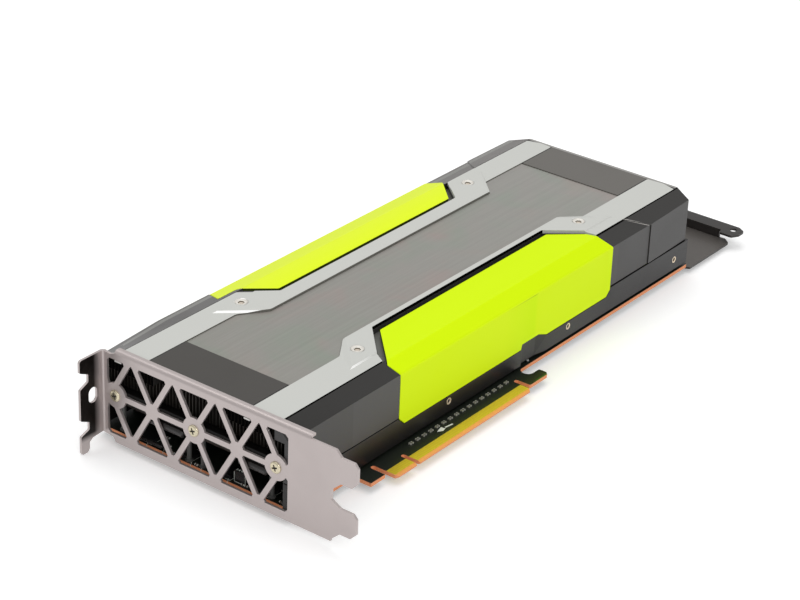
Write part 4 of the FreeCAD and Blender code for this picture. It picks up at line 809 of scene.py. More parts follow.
@dataclass(frozen=True)
class PlatedSteel(Coat):
    """Plated sheet steel with rolled grain, and a painted dark reflection on its screw tab."""

    roughness: float = 0.36
    metallic: float = 0.6
    tone: float = 0.04
    wear_and_painted_edges: float = 0.9
    marks: float = 0.3
    marks_rough: float = 0.1
    marks_scale: float = 45.0
    marks_reach: float = 0.5
    grain_scale: float = 2600.0
    grain_contrast: float = 1.2
    grain_depth: float = 0.000003
    rough_span: Span = (0.05, 0.05)
    tab_painted_reflection: Colour = (20, 14, 10)
    tab_reach: Span = (-5.0, -2.0)
    tab_low: Span = (2.0, 4.5)
    tab_start: float = 100.0
    tab_turn: float = 0.6

    def tint(self, draft: Draft, colour: Socket) -> Tinted:
        """Paint a dark reflection on the screw tab's inner face.

        Args:
            draft: The material being built.
            colour: The grained and marked colour.

        Returns:
            The changed colour and no mask.
        """
        inner = draft.both(
            draft.under(draft.facing("Y"), -self.tab_turn), draft.past("Y", self.tab_start)
        )
        depth = draft.fade("X", *self.tab_reach, 1.0, 0.0)
        height = draft.fade("Z", *self.tab_low, 0.0, 1.0)
        tab = draft.both(inner, draft.both(depth, height))
        return draft.blend(tab, colour, linear(self.tab_painted_reflection)), None


@dataclass(frozen=True)
class BareMetal(Coat):
    """Plain machined or plated metal with fine scratches."""

    roughness: float = 0.28
    metallic: float = 1.0
    dark_share: float = 0.25
    marks: float = 0.4
    marks_rough: float = 0.0
    marks_scale: float = 160.0
    marks_reach: float = 0.5
    grain_scale: float = 5200.0
    grain_contrast: float = 1.4
    grain_depth: float = 0.000003
    rough_span: Span = (0.08, 0.1)

    def tones(self) -> tuple[Span, Span]:
        """Darken the grain and the marks alike."""
        return (1 - self.dark_share, 1.0), (1 - self.dark_share, 0.0)


@dataclass(frozen=True)
class Moulded(Coat):
    """Moulded plastic, ceramic or rubber with a fine matt skin, paler at the marks."""

    roughness: float = 0.55
    tone: float = 0.2
    wear_and_painted_edges: float = 1.2
    worn_lift: float = 0.006
    marks: float = 0.3
    marks_rough: float = 0.0
    marks_scale: float = 120.0
    marks_reach: float = 0.5
    grain_scale: float = 3600.0
    grain_contrast: float = 1.2
    grain_depth: float = 0.00001
    rough_span: Span = (0.08, 0.08)

    def tones(self) -> tuple[Span, Span]:
        """Darken the grain and lift the marks."""
        return (1 - self.tone, 1.0), (self.wear_and_painted_edges, self.worn_lift)


@dataclass(frozen=True)
class BrushedSheet(Finish):
    """Metal sheet brushed along the card, with faint warm and cool sheens."""

    warm: Colour = (178, 140, 137)
    cool: Colour = (134, 156, 136)
    roughness: float = 0.42
    metallic: float = 0.5
    rough_span: Span = (0.06, 0.08)
    depth: float = 0.000003
    contrast: float = 0.1
    sheen: float = 0.42
    sheen_reach: float = 0.42
    warm_scale: float = 38.0
    cool_scale: float = 44.0
    cool_shift: Triple = (0.31, 0.17, 0.05)
    line_range: Span = (0.3, 0.7)
    band_dark: float = 0.07
    lift_span: Span = (25.0, 240.0)
    rear_lift: float = 0.0

    def build(self) -> Material:
        """Build the material.

        Returns:
            A material of brushed sheet.
        """
        draft = Draft(self.name)
        lines = draft.effect(Effect.BRUSHING)
        value = lines["Value"]
        base = linear(self.colour)
        made = draft.blend(
            draft.spread(value, *self.line_range, 0.0, 1.0),
            shade(base, 1 - self.contrast),
            shade(base, 1 + self.contrast),
        )
        moved = draft.add("ShaderNodeVectorMath", operation="ADD")
        draft.feed(moved, Vector=draft.place)
        moved.inputs[1].default_value = self.cool_shift
        for place, scale, sheen in (
            (draft.place, self.warm_scale, self.warm),
            (moved.outputs[0], self.cool_scale, self.cool),
        ):
            cloud = draft.effect(
                Effect.HANDLING, Place=place, Scale=scale, Reach=self.sheen_reach
            )
            made = draft.blend(draft.both(cloud["Mask"], self.sheen), made, linear(sheen))
        band = draft.spread(lines["Band"], *self.line_range, 0.0, self.band_dark)
        made = draft.blend(band, made, BLACK)
        if self.rear_lift:
            made = draft.blend(draft.fade("X", *self.lift_span, 0.0, self.rear_lift), made, WHITE)
        less, more = self.rough_span
        return draft.finish(
            Base_Color=made,
            Roughness=draft.spread(
                value, 0.25, 0.75, self.roughness - less, self.roughness + more
            ),
            Metallic=self.metallic,
            Normal=draft.bump(value, self.depth),
        )


@dataclass(frozen=True)
class Laminate(Finish):
    """Circuit board: black resist over traces, bare tongue and routed edge."""

    trace: Colour = (34, 40, 32)
    trace_share: float = 0.6
    via: Colour = (66, 64, 50)
    via_share: float = 0.2
    bare: Colour = (212, 186, 52)
    bare_top: float = 5.3
    bare_before: float = 2.0
    bare_after: float = 0.6
    hook_green_reflection: Colour = (52, 92, 28)
    hook_x: Span = (137.0, 140.0)
    hook_y: Span = (2.6, 3.4)
    core: Colour = (250, 172, 124)
    core_dark: Colour = (224, 130, 80)
    core_pale: Colour = (240, 172, 130)
    core_share: float = 0.3
    chamfer: Colour = (244, 166, 84)
    chamfer_slope: Span = (0.3, 0.6)
    face_slope: Span = (0.985, 0.995)
    edge_rough: float = 0.7
    face_rough: float = 0.36
    relief: float = 0.000006

    def build(self) -> Material:
        """Build the material.

        Returns:
            A material of laminate.
        """
        draft = Draft(self.name)
        runs = draft.add("ShaderNodeTexBrick", offset=0.37, squash=0.6, squash_frequency=3)
        draft.feed(runs, Vector=draft.place, Scale=420.0)
        draft.feed(runs, Mortar_Size=0.12, Mortar_Smooth=0.3, Row_Height=0.35)
        lines = draft.both(runs.outputs["Fac"], self.trace_share)
        dots = draft.feed(draft.add("ShaderNodeTexVoronoi"), Vector=draft.place, Scale=330.0)
        vias = draft.spread(dots.outputs["Distance"], 0.1, 0.14, 1.0, 0.0)
        flat = draft.maths("ABSOLUTE", draft.facing("Z"))
        share = draft.spread(flat, *self.face_slope, 0.0, 1.0)
        return draft.finish(
            Base_Color=draft.blend(
                share, self.cut_edge(draft, flat), self.printed_face(draft, lines, vias)
            ),
            Roughness=draft.spread(share, 0.0, 1.0, self.edge_rough, self.face_rough),
            Normal=draft.bump(draft.maths("ADD", lines, vias), self.relief),
        )

    def printed_face(self, draft: Draft, lines: Socket, vias: Socket) -> Socket:
        """Colour of the board's faces.

        Args:
            draft: The material being built.
            lines: Mask of the traces.
            vias: Mask of the plated holes.

        Returns:
            The colour.
        """
        face = draft.blend(lines, linear(self.colour), linear(self.trace))
        face = draft.blend(draft.both(vias, self.via_share), face, linear(self.via))
        # Painted reflection of the green cover on the board at the hook.
        hook = draft.both(
            draft.fade("X", *self.hook_x, 0.0, 1.0), draft.fade("Y", *self.hook_y, 1.0, 0.0)
        )
        face = draft.blend(hook, face, linear(self.hook_green_reflection))
        low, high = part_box("edge_contacts")
        start, end = low.x - self.bare_before * MM, high.x + self.bare_after * MM
        tongue = draft.both(
            draft.within(draft.along("X"), start, end), draft.short_of("Y", self.bare_top)
        )
        return draft.blend(tongue, face, linear(self.bare))

    def cut_edge(self, draft: Draft, flat: Socket) -> Socket:
        """Colour of the routed edge and of the tongue's chamfer.

        Args:
            draft: The material being built.
            flat: How squarely the surface faces up or down.

        Returns:
            The colour.
        """
        layers = draft.add("ShaderNodeTexWave", bands_direction="Z")
        draft.feed(layers, Vector=draft.place, Scale=900.0, Distortion=1.5, Detail=2.0)
        edge = draft.blend(layers.outputs[1], linear(self.core_dark), linear(self.core))
        grain = draft.effect(Effect.GRAIN, Scale=1800.0)["Value"]
        speckle = draft.spread(grain, 0.3, 0.7, 0.0, self.core_share)
        edge = draft.blend(speckle, edge, linear(self.core_pale))
        sloped = draft.spread(flat, *self.chamfer_slope, 0.0, 1.0)
        return draft.blend(sloped, edge, linear(self.chamfer))


@dataclass(frozen=True)
class PaintedSocketShade(Finish):
    """Painted shade on the wall of a screw's socket, over a floor painted as lit."""

    floor: Colour = (222, 211, 196)
    floor_top: float = 36.2
    floor_turn: float = 0.5
    floor_tone: float = 0.92
    roughness: Span = (0.4, 0.55)

    def build(self) -> Material:
        """Build the material.

        Returns:
            A material of the socket's wall and floor.
        """
        draft = Draft(self.name)
        grain = draft.effect(Effect.GRAIN, Scale=5200.0)["Value"]
        base = linear(self.floor)
        toned = draft.blend(grain, shade(base, self.floor_tone), base)
        flat = draft.both(
            draft.over(draft.facing("Z"), self.floor_turn),
            draft.short_of("Z", self.floor_top),
        )
        return draft.finish(
            Base_Color=draft.blend(flat, linear(self.colour), toned),
            Roughness=draft.spread(grain, *GRAIN_RANGE, *self.roughness),
        )


class Soften(Enum):
    """How strongly a piece's edges are rounded, in metres."""

    NONE = 0.0
    FINE = 0.00008
    SHEET = 0.00014
    CAST = 0.0003


class Surface:
    """Puts a finish and rounded edges on pieces of the model."""

    smooth_group: bpy.types.NodeTree | None = None
    bent_above: float = 0.5
    weld_reach: float = 0.000002
    edge_segments: int = 2

    @classmethod
    def smoothing(cls) -> bpy.types.NodeTree:
        """Build, once, the nodes that shade shallow angles smooth and keep sharp ones.

        Returns:
            The group of geometry nodes.
        """
        if cls.smooth_group is None:
            tree = bpy.data.node_groups.new("smooth_shallow_angles", "GeometryNodeTree")
            for way in ("INPUT", "OUTPUT"):
                tree.interface.new_socket("Geometry", in_out=way, socket_type="NodeSocketGeometry")
            graph = Graph(tree)
            given = graph.add("NodeGroupInput").outputs[0]
            faces = graph.add("GeometryNodeSetShadeSmooth", domain="FACE")
            edges = graph.add("GeometryNodeSetShadeSmooth", domain="EDGE")
            angle = graph.add("GeometryNodeInputMeshEdgeAngle").outputs[0]
            bent = graph.maths("GREATER_THAN", angle, math.radians(cls.bent_above))
            gentle = graph.maths("LESS_THAN", angle, math.radians(SMOOTH_BELOW))
            shallow = graph.maths("MULTIPLY", bent, gentle)
            graph.feed(faces, Geometry=given, Shade_Smooth=True)
            graph.feed(edges, Geometry=faces.outputs[0], Shade_Smooth=shallow)
            graph.plug(graph.add("NodeGroupOutput").inputs[0], edges.outputs[0])
            cls.smooth_group = tree
        return cls.smooth_group

    @classmethod
    def dress(
        cls,
        piece: bpy.types.Object,
        material: Material,
        soften: Soften,
        edge: Material | None = None,
        sharper_than: float = SMOOTH_BELOW,
    ) -> None:
        """Give a piece its finish and its edge radius.

        Args:
            piece: The mesh object.
            material: The finish for the whole piece.
            soften: The edge radius.
            edge: The finish of the rounded edges, if it differs.
            sharper_than: Edges below this angle in degrees stay as they are.
        """
        piece.data.materials.clear()
        piece.data.materials.append(material)
        weld = piece.modifiers.new("join_faces", "WELD")
        weld.merge_threshold = cls.weld_reach
        if soften is not Soften.NONE:
            bevel = piece.modifiers.new("edge_radius", "BEVEL")
            bevel.width = soften.value
            bevel.segments = cls.edge_segments
            bevel.limit_method = "ANGLE"
            bevel.angle_limit = math.radians(sharper_than)
            bevel.use_clamp_overlap = True
            if edge is not None:
                piece.data.materials.append(edge)
                bevel.material = 1
        smooth = piece.modifiers.new("smooth_shading", "NODES")
        smooth.node_group = cls.smoothing()
        flats = piece.modifiers.new("flat_faces", "WEIGHTED_NORMAL")
        flats.keep_sharp = True


@dataclass
class Assembly:
    """Some pieces of the card that are dressed together."""

    title: str
    count: int = 0

    def put(
        self,
        names: tuple[str, ...],
        finish: Finish,
        soften: Soften = Soften.NONE,
        wear_and_painted_edges: Colour | None = None,
        sharper_than: float = SMOOTH_BELOW,
    ) -> None:
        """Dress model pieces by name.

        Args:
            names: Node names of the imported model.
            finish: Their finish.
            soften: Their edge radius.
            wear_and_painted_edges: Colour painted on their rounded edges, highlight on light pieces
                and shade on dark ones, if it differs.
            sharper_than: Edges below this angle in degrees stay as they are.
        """
        material = finish.build()
        edge = None if wear_and_painted_edges is None else finish.at_edges(wear_and_painted_edges)
        for name in names:
            Surface.dress(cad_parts[name], material, soften, edge, sharper_than)
            self.count += 1
            LOG.info("%s: %s dressed", self.title, name)

    def join(self, name: str, mesh: Mesh, finish: Finish, slot: str, *stands_for: str) -> None:
        """Turn a built mesh into a piece that rides on the card.

        Args:
            name: The piece's name.
            mesh: Its geometry, freed afterwards.
            finish: Its finish.
            slot: Not used.
            stands_for: Model nodes that the piece replaces.
        """
        piece = place_mesh(name, mesh)
        Surface.dress(piece, finish.build(), Soften.NONE)
        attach(piece, ROOT)
        if stands_for:
            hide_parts(*stands_for)
        self.count += 1
        LOG.info("%s: %s added", self.title, name)


def place_mesh(name: str, mesh: Mesh) -> bpy.types.Object:
    """Turn a built mesh into an object of the scene.

    Args:
        name: The object's name.
        mesh: Its geometry, freed afterwards.

    Returns:
        The object.
    """
    data = bpy.data.meshes.new(name)
    mesh.to_mesh(data)
    mesh.free()
    piece = bpy.data.objects.new(name, data)
    bpy.context.scene.collection.objects.link(piece)
    return piece


def circle(radius: float) -> Outline:
    """Outline of a round, as a radius in millimetres at every angle."""
    return lambda angle: radius


def rounds(*rings: Span) -> list[Ring]:
    """Round rings, each from its radius and height in millimetres."""
    return [(circle(radius), height) for radius, height in rings]


def hexagon(radius: float) -> Outline:
    """Outline of a hexagonal socket.

    Args:
        radius: Distance of its corners.

    Returns:
        Its distance at every angle.
    """
    sixth = math.pi / 3
    inner = radius * math.cos(sixth / 2)
    return lambda angle: inner / math.cos((angle % sixth) - sixth / 2)


def cross(arm: float, half: float) -> Outline:
    """Outline of a cross recess.

    Args:
        arm: Length of its arms.
        half: Half their width.

    Returns:
        Its distance at every angle.
    """

    def reach(angle: float) -> float:
        """Distance to the outline at an angle."""
        off = (angle + math.pi / 4) % (math.pi / 2) - math.pi / 4
        return min(arm / math.cos(off), half / max(abs(math.sin(off)), 1e-6))

    return reach


def aimed(place: Vector, direction: Triple) -> Matrix:
    """Matrix at a place whose Z axis points in a direction."""
    turn = Vector(direction).to_track_quat("Z", "Y")
    return Matrix.Translation(place) @ turn.to_matrix().to_4x4()


def add_turned(mesh: Mesh, place: Matrix, rings: list[Ring], count: int = 48) -> None:
    """Add a closed solid of stacked rings to a mesh.

    Args:
        mesh: The mesh to add to.
        place: Where the rings' axis stands, with Z along it.
        rings: Outline and height of each ring in millimetres, from the bottom.
        count: Points in each ring.
    """
    loops = []
    for outline, height in rings:
        loop = []
        for step in range(count):
            angle = 2 * math.pi * (step + 0.5) / count
            radius = outline(angle)
            point = Vector((radius * math.cos(angle), radius * math.sin(angle), height)) * MM
            loop.append(mesh.verts.new(place @ point))
        loops.append(loop)
    for lower, upper in zip(loops, loops[1:]):
        add_walls(mesh, lower, upper)
    mesh.faces.new(list(reversed(loops[0])))
    mesh.faces.new(loops[-1])


def add_walls(mesh: Mesh, lower: list[bmesh.types.BMVert], upper: list[bmesh.types.BMVert]) -> None:
    """Add the faces between two loops to a mesh.

    Args:
        mesh: The mesh to add to.
        lower: Points of the lower loop.
        upper: Points of the upper loop.
    """
    count = len(lower)
    for step in range(count):
        after = (step + 1) % count
        mesh.faces.new((lower[step], lower[after], upper[after], upper[step]))


def add_prism(mesh: Mesh, outline: list[Span], low: float, high: float) -> None:
    """Add an upright solid to a mesh.

    Args:
        mesh: The mesh to add to.
        outline: Its corners in X and Y, in metres.
        low: Height of its foot.
        high: Height of its top.
    """
    lower = [mesh.verts.new((x, y, low)) for x, y in outline]
    upper = [mesh.verts.new((x, y, high)) for x, y in outline]
    mesh.faces.new(list(reversed(lower)))
    mesh.faces.new(upper)
    add_walls(mesh, lower, upper)


def add_block(mesh: Mesh, low: Vector, high: Vector) -> None:
    """Add an upright block to a mesh.

    Args:
        mesh: The mesh to add to.
        low: Its lowest corner in metres.
        high: Its highest corner.
    """
    shape = Matrix.Translation((low + high) / 2) @ Matrix.Diagonal((*(high - low), 1.0))
    bmesh.ops.create_cube(mesh, size=1.0, matrix=shape)


def add_span(mesh: Mesh, x: Span, y: Span, z: Span) -> None:
    """Add an upright block to a mesh by its reach on the card in millimetres."""
    add_block(mesh, at(x[0], y[0], z[0]), at(x[1], y[1], z[1]))


def around(middle: float, half: float) -> Span:
    """Reach on both sides of a middle."""
    return middle - half, middle + half


def on_board(height: float) -> Span:
    """Reach from the board's upper face."""
    return BOARD_TOP, BOARD_TOP + height


@dataclass
class Shell(Assembly):
    """Dark cover, its rails, panel, plates and bright side covers."""

    title: str = "shell"
    cover: Coat = SidePaint(
        "cover_paint", (217, 249, 0), 0.5, metallic=0.08, shine=0.08, tone=0.02, marks=0.04
    )
    dark: Coat = DuctPaint(
        "shroud_paint", (52, 50, 48), 0.34, tone=0.12, grain_scale=2400.0, marks=0.2
    )
    silver: Coat = RailPaint("rail_paint", (201, 202, 197), 0.42, shine=0.35, tone=0.02, marks=0.05)
    front_plate: Coat = PlatePaint("front_plate_paint", (66, 63, 59), 0.42, 0.2)
    rear_plate: Coat = PlatePaint("rear_plate_paint", (104, 101, 96), 0.42, 0.2, node="rear_plate")
    panel: BrushedSheet = BrushedSheet("panel_sheet", (153, 151, 145), rear_lift=0.06)
    crease_angle: float = 75.0

    def build(self) -> None:
        """Dress every piece of the shell."""
        # Rounded edges get painted colour: black painted shade on the cover, painted highlights on
        # the side covers and rails.
        self.put(("shroud",), self.dark, Soften.CAST, (14, 13, 12), self.crease_angle)
        self.put(("low_cover", "high_cover"), self.cover, Soften.CAST, (226, 252, 60))
        self.put(("low_rail", "high_rail"), self.silver, Soften.SHEET, (228, 228, 224))
        self.put(("front_plate",), self.front_plate, Soften.FINE)
        self.put(("rear_plate",), self.rear_plate, Soften.FINE)
        self.put(("centre_panel",), self.panel, Soften.FINE)


@dataclass
class Bracket(Assembly):
    """Folded bracket and the bar behind it."""

    title: str = "bracket"
    steel: PlatedSteel = PlatedSteel("bracket_steel", (190, 180, 178))
    bar: Moulded = Moulded("crossbar_black", (12, 11, 10), 0.5, shine=0.15)

    def build(self) -> None:
        """Dress the bracket."""
        # The bracket's rounded edges carry a painted highlight.
        self.put(("io_bracket",), self.steel, Soften.SHEET, (216, 208, 205))
        self.put(("front_crossbar",), self.bar, Soften.CAST)


@dataclass
class Cooler(Assembly):
    """Base plate, vapour chamber and fins."""

    title: str = "cooler"
    cast: Coat = Coat(
        "base_black", (19, 16, 16), 0.34, shine=0.42, grain_scale=1500.0, grain_depth=0.00001
    )
    fins: BrushedSheet = BrushedSheet("fin_metal", (56, 52, 47), (62, 50, 44), (48, 52, 52), 0.5)
    rim_angle: float = 62.0

    def build(self) -> None:
        """Dress the cooler."""
        # The base plate's rounded edges are painted slightly darker.
        self.put(("base_plate",), self.cast, Soften.CAST, (16, 15, 14), self.rim_angle)
        self.put(("vapour_chamber",), BareMetal("chamber_metal", (58, 52, 48), 0.4), Soften.FINE)
        self.put(("cooling_fins",), self.fins)
        self.put(("copper_pedestal",), BareMetal("pedestal_copper", (196, 120, 84)), Soften.FINE)


@dataclass
class Circuit(Assembly):
    """Board, contacts, chips, print and power socket."""

    title: str = "circuit"
    contact: BareMetal = BareMetal("contact_gold", (236, 208, 58), 0.36, 0.35, dark_share=0.08)
    capacitor_pairs: int = 16
    capacitor_width: float = 0.6
    pair_shift: float = 1.2
    end_length: float = 0.34
    end_grow: float = 0.04
    arrow_x: float = 36.3
    arrow_y: float = 3.0
    arrow_height: float = 0.03
    arrow_head: tuple[Span, ...] = ((-2.3, 0.2), (-0.2, -1.1), (1.8, -0.7), (1.4, 1.2))
    arrow_shaft: tuple[Span, ...] = ((2.2, -0.45), (6.3, -1.05), (6.4, -0.4), (2.4, 0.2))
    mark: tuple[Span, Span, Span] = ((149.7, 150.4), (14.1, 14.7), (1.57, 1.9))

    def build(self) -> None:
        """Dress the circuit and add print and solder."""
        chips = ("board_chips", "power_switches", "memory_stacks")
        for names, finish, soften in (
            (("board",), Laminate("board_laminate", (17, 20, 16)), Soften.NONE),
            (("edge_contacts",), self.contact, Soften.NONE),
            (("coupling_capacitors",), Moulded("capacitor_body", (120, 112, 98)), Soften.NONE),
            (chips, Moulded("chip_black", (24, 24, 25), 0.4), Soften.FINE),
            (("gpu_package",), Moulded("package_green", (34, 74, 48), 0.4), Soften.FINE),
            (("gpu_die",), BareMetal("die_silicon", (120, 122, 132), 0.12), Soften.NONE),
            (("power_chokes",), Moulded("choke_grey", (92, 92, 90), 0.7), Soften.FINE),
            (("thermal_pads",), Moulded("pad_blue", (150, 156, 170), 0.8), Soften.NONE),
            (("polymer_capacitors",), BareMetal("can_metal", (190, 190, 188)), Soften.FINE),
            (("power_socket",), Moulded("socket_black", (24, 24, 24), 0.5), Soften.FINE),
            (("power_pins",), BareMetal("pin_gold", (214, 182, 110)), Soften.NONE),
        ):
            self.put(names, finish, soften)
        self.add_solder()
        self.add_print()

    def add_solder(self) -> None:
        """Add the tin on both ends of every coupling capacitor."""
        low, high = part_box("coupling_capacitors")
        mesh = bmesh.new()
        end, grow, shift = self.end_length * MM, self.end_grow * MM, self.pair_shift * MM
        width = self.capacitor_width * MM
        pitch = (high.x - low.x - shift - width) / (self.capacitor_pairs - 1)
        for pair in range(self.capacitor_pairs):
            for x in (low.x + pair * pitch, low.x + pair * pitch + shift):
                for y in (low.y, high.y - end):
                    corner = Vector((x + width + grow, y + end + grow, high.z + grow))
                    add_block(mesh, Vector((x - grow, y - grow, low.z)), corner)
        tin = Moulded("solder_tin", (168, 167, 158), 0.45)
        self.join("capacitor_ends", mesh, tin, "screw_steel")

    def add_print(self) -> None:
        """Add the white direction arrow beside the contacts and a small mark."""
        board_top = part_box("board")[1].z
        contact_low, contact_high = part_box("edge_contacts")
        x, y = contact_low.x + self.arrow_x * MM, contact_high.y + self.arrow_y * MM
        mesh = bmesh.new()
        for shape in (self.arrow_head, self.arrow_shaft):
            outline = [(x + u * MM, y + v * MM) for u, v in shape]
            add_prism(mesh, outline, board_top, board_top + self.arrow_height * MM)
        add_span(mesh, *self.mark)
        self.join("board_print", mesh, Moulded("print_white", (244, 244, 242), 0.6), "board_resin")


@dataclass
class FrontRow(Assembly):
    """What shows through the lattice's lower windows: posts, small parts and print."""

    title: str = "front row"
    posts: tuple[Span, ...] = ((6.3, 19.0), (6.3, 25.2), (5.9, 57.4), (5.9, 64.2), (6.3, 97.0))
    post_foot: tuple[Span, ...] = ((1.5, 0.0), (1.5, 0.5), (0.95, 0.8))
    post_top: float = 13.4
    parts: tuple[Span, ...] = (
        (5.6, 36.6), (5.6, 38.2), (8.2, 37.4), (12.6, 42.0), (12.6, 51.0),
        (5.4, 52.6), (5.4, 54.0), (5.0, 60.0), (8.6, 58.0), (12.6, 66.0),
        (5.4, 71.8), (5.4, 73.4), (8.2, 76.0), (12.4, 80.4), (5.6, 20.4),
    )
    part_half: Span = (0.3, 0.5)
    part_height: float = 0.5
    end_half: Span = (0.33, 0.18)
    end_height: float = 0.54
    bar_place: Span = (3.0, 14.2)
    bar_spans: tuple[Span, ...] = ((24.0, 37.5), (63.5, 82.0))
    bar_radii: Span = (1.1, 1.75)
    bar_round: float = 0.7
    low_bar: Triple = (5.2, 76.5, 2.5)
    low_bar_rings: tuple[Span, ...] = ((0.5, 0.0), (0.85, 0.4), (0.85, 13.0))
    header_x: Span = (5.6, 8.4)
    header_y: Span = (37.0, 42.4)
    header_top: float = 6.3
    header_highlights_x: Span = (5.52, 5.6)
    header_ends: Span = (37.0, 42.2)
    header_highlight: float = 0.2
    header_highlight_drop: float = 0.6
    header_foot: float = 0.25
    header_glints: tuple[float, ...] = (37.8, 39.0, 40.2, 41.4)
    header_glints_x: Span = (6.2, 6.9)
    header_glint_width: float = 0.5
    header_glint_height: float = 0.3
    ink: float = 0.03
    line_half: float = 0.1
    chip_half: float = 3.5
    chip_x: float = 8.5
    chip_line_x: Span = (5.0, 12.0)
    chip_rows: tuple[float, ...] = (28.3, 47.3, 66.3, 85.3)
    chip_ticks: tuple[Span, ...] = ((-3.4, -1.2), (1.2, 3.4))
    tick_rows: tuple[float, ...] = (44.3, 56.9, 62.0, 75.5, 83.6)
    tick: tuple[Span, ...] = ((4.2, 0.0), (4.4, -0.15), (6.0, 1.0), (5.8, 1.15))
    tick_edge: tuple[Span, Span] = ((3.94, 4.0), (-0.18, 0.12))
    tick_low: float = 0.75
    clips: tuple[Triple, ...] = ((32.4, 33.4, 1.4), (23.3, 32.6, 0.9), (94.2, 33.6, 1.6))
    clip_x: Span = (0.6, 0.97)
    clip_half: float = 0.3

    def build(self) -> None:
        """Build the row of small things behind the lattice."""
        self.add_posts()
        self.add_parts()
        self.add_print()
        self.add_clips()
        self.add_bars()
        self.add_header()

    def add_posts(self) -> None:
        """Add the posts between the board and the vapour chamber."""
        mesh = bmesh.new()
        rings = rounds(*self.post_foot, (self.post_foot[-1][0], self.post_top - BOARD_TOP))
        for x, y in self.posts:
            add_turned(mesh, Matrix.Translation(at(x, y, BOARD_TOP)), rings, 24)
        self.join("chamber_posts", mesh, Moulded("post_grey", (92, 92, 90), 0.35), "black_casting")

    def add_parts(self) -> None:
        """Add the small chip parts with their tinned ends."""
        bodies, ends = bmesh.new(), bmesh.new()
        half_x, half_y = self.part_half
        end_x, end_y = self.end_half
        for x, y in self.parts:
            add_span(bodies, around(x, half_x), around(y, half_y), on_board(self.part_height))
            for middle in around(y, half_y):
                add_span(ends, around(x, end_x), around(middle, end_y), on_board(self.end_height))
        self.join("front_parts", bodies, Moulded("part_brown", (110, 92, 76)), "chip_ceramic")
        tin = Moulded("part_tin", (236, 238, 232), 0.35)
        self.join("front_part_ends", ends, tin, "screw_steel")

    def add_bars(self) -> None:
        """Add the glossy bars in front of the vapour chamber, and a low one on the board."""
        mesh = bmesh.new()
        x, z = self.bar_place
        end, full = self.bar_radii
        for low, high in self.bar_spans:
            length = high - low
            rings = rounds(
                (end, 0.0), (full, self.bar_round), (full, length - self.bar_round), (end, length)
            )
            add_turned(mesh, aimed(at(x, low, z), (0, 1, 0)), rings, 32)
        add_turned(mesh, aimed(at(*self.low_bar), (0, 1, 0)), rounds(*self.low_bar_rings), 24)
        self.join("front_bars", mesh, Moulded("bar_gloss", (24, 20, 18), 0.3), "black_casting")

    def add_header(self) -> None:
        """Add the small dark header beside a front chip, with pale strips of painted highlight on
        its edges and pale dots of painted glint on top.
        """
        block, lines = bmesh.new(), bmesh.new()
        top = self.header_top
        add_span(block, self.header_x, self.header_y, (BOARD_TOP, top))
        upright = (BOARD_TOP, top - self.header_highlight_drop)
        # Pale strips on its edges are painted highlights.
        for y in self.header_ends:
            add_span(lines, self.header_highlights_x, (y, y + self.header_highlight), upright)
        add_span(lines, self.header_highlights_x, self.header_y, on_board(self.header_foot))
        # Raised pale dots on its top are painted glints.
        raised = (top, top + self.header_glint_height)
        for y in self.header_glints:
            add_span(lines, self.header_glints_x, (y, y + self.header_glint_width), raised)
        dark = Moulded("header_black", (14, 14, 14), 0.3)
        self.join("front_header", block, dark, "socket_plastic")
        pale = Moulded("header_highlights", (214, 220, 212), 0.4)
        self.join("front_header_highlights", lines, pale, "screw_steel")

    def add_print(self) -> None:
        """Add printed outlines round the front chips and ticks at the board's edge."""
        mesh = bmesh.new()
        ink = on_board(self.ink)
        for y in self.chip_rows:
            for shift in (-self.chip_half, self.chip_half):
                add_span(mesh, self.chip_line_x, around(y + shift, self.line_half), ink)
                for low, high in self.chip_ticks:
                    line = around(self.chip_x + shift, self.line_half)
                    add_span(mesh, line, (y + low, y + high), ink)
        edge_x, (edge_low, edge_high) = self.tick_edge
        for y in self.tick_rows:
            outline = [at(u, y + v, 0).xy for u, v in self.tick]
            add_prism(mesh, outline, level("Z", ink[0]), level("Z", ink[1]))
            add_span(mesh, edge_x, (y + edge_low, y + edge_high), (self.tick_low, ink[1]))
        white = Moulded("front_print_ink", (222, 226, 216), 0.6)
        self.join("front_print", mesh, white, "board_resin")

    def add_clips(self) -> None:
        """Add the bright spring clips at the top of the air opening."""
        mesh = bmesh.new()
        for y, z, wide in self.clips:
            add_span(mesh, self.clip_x, around(y, wide), around(z, self.clip_half))
        self.join("opening_clips", mesh, Moulded("clip_white", (226, 222, 218), 0.3), "screw_steel")


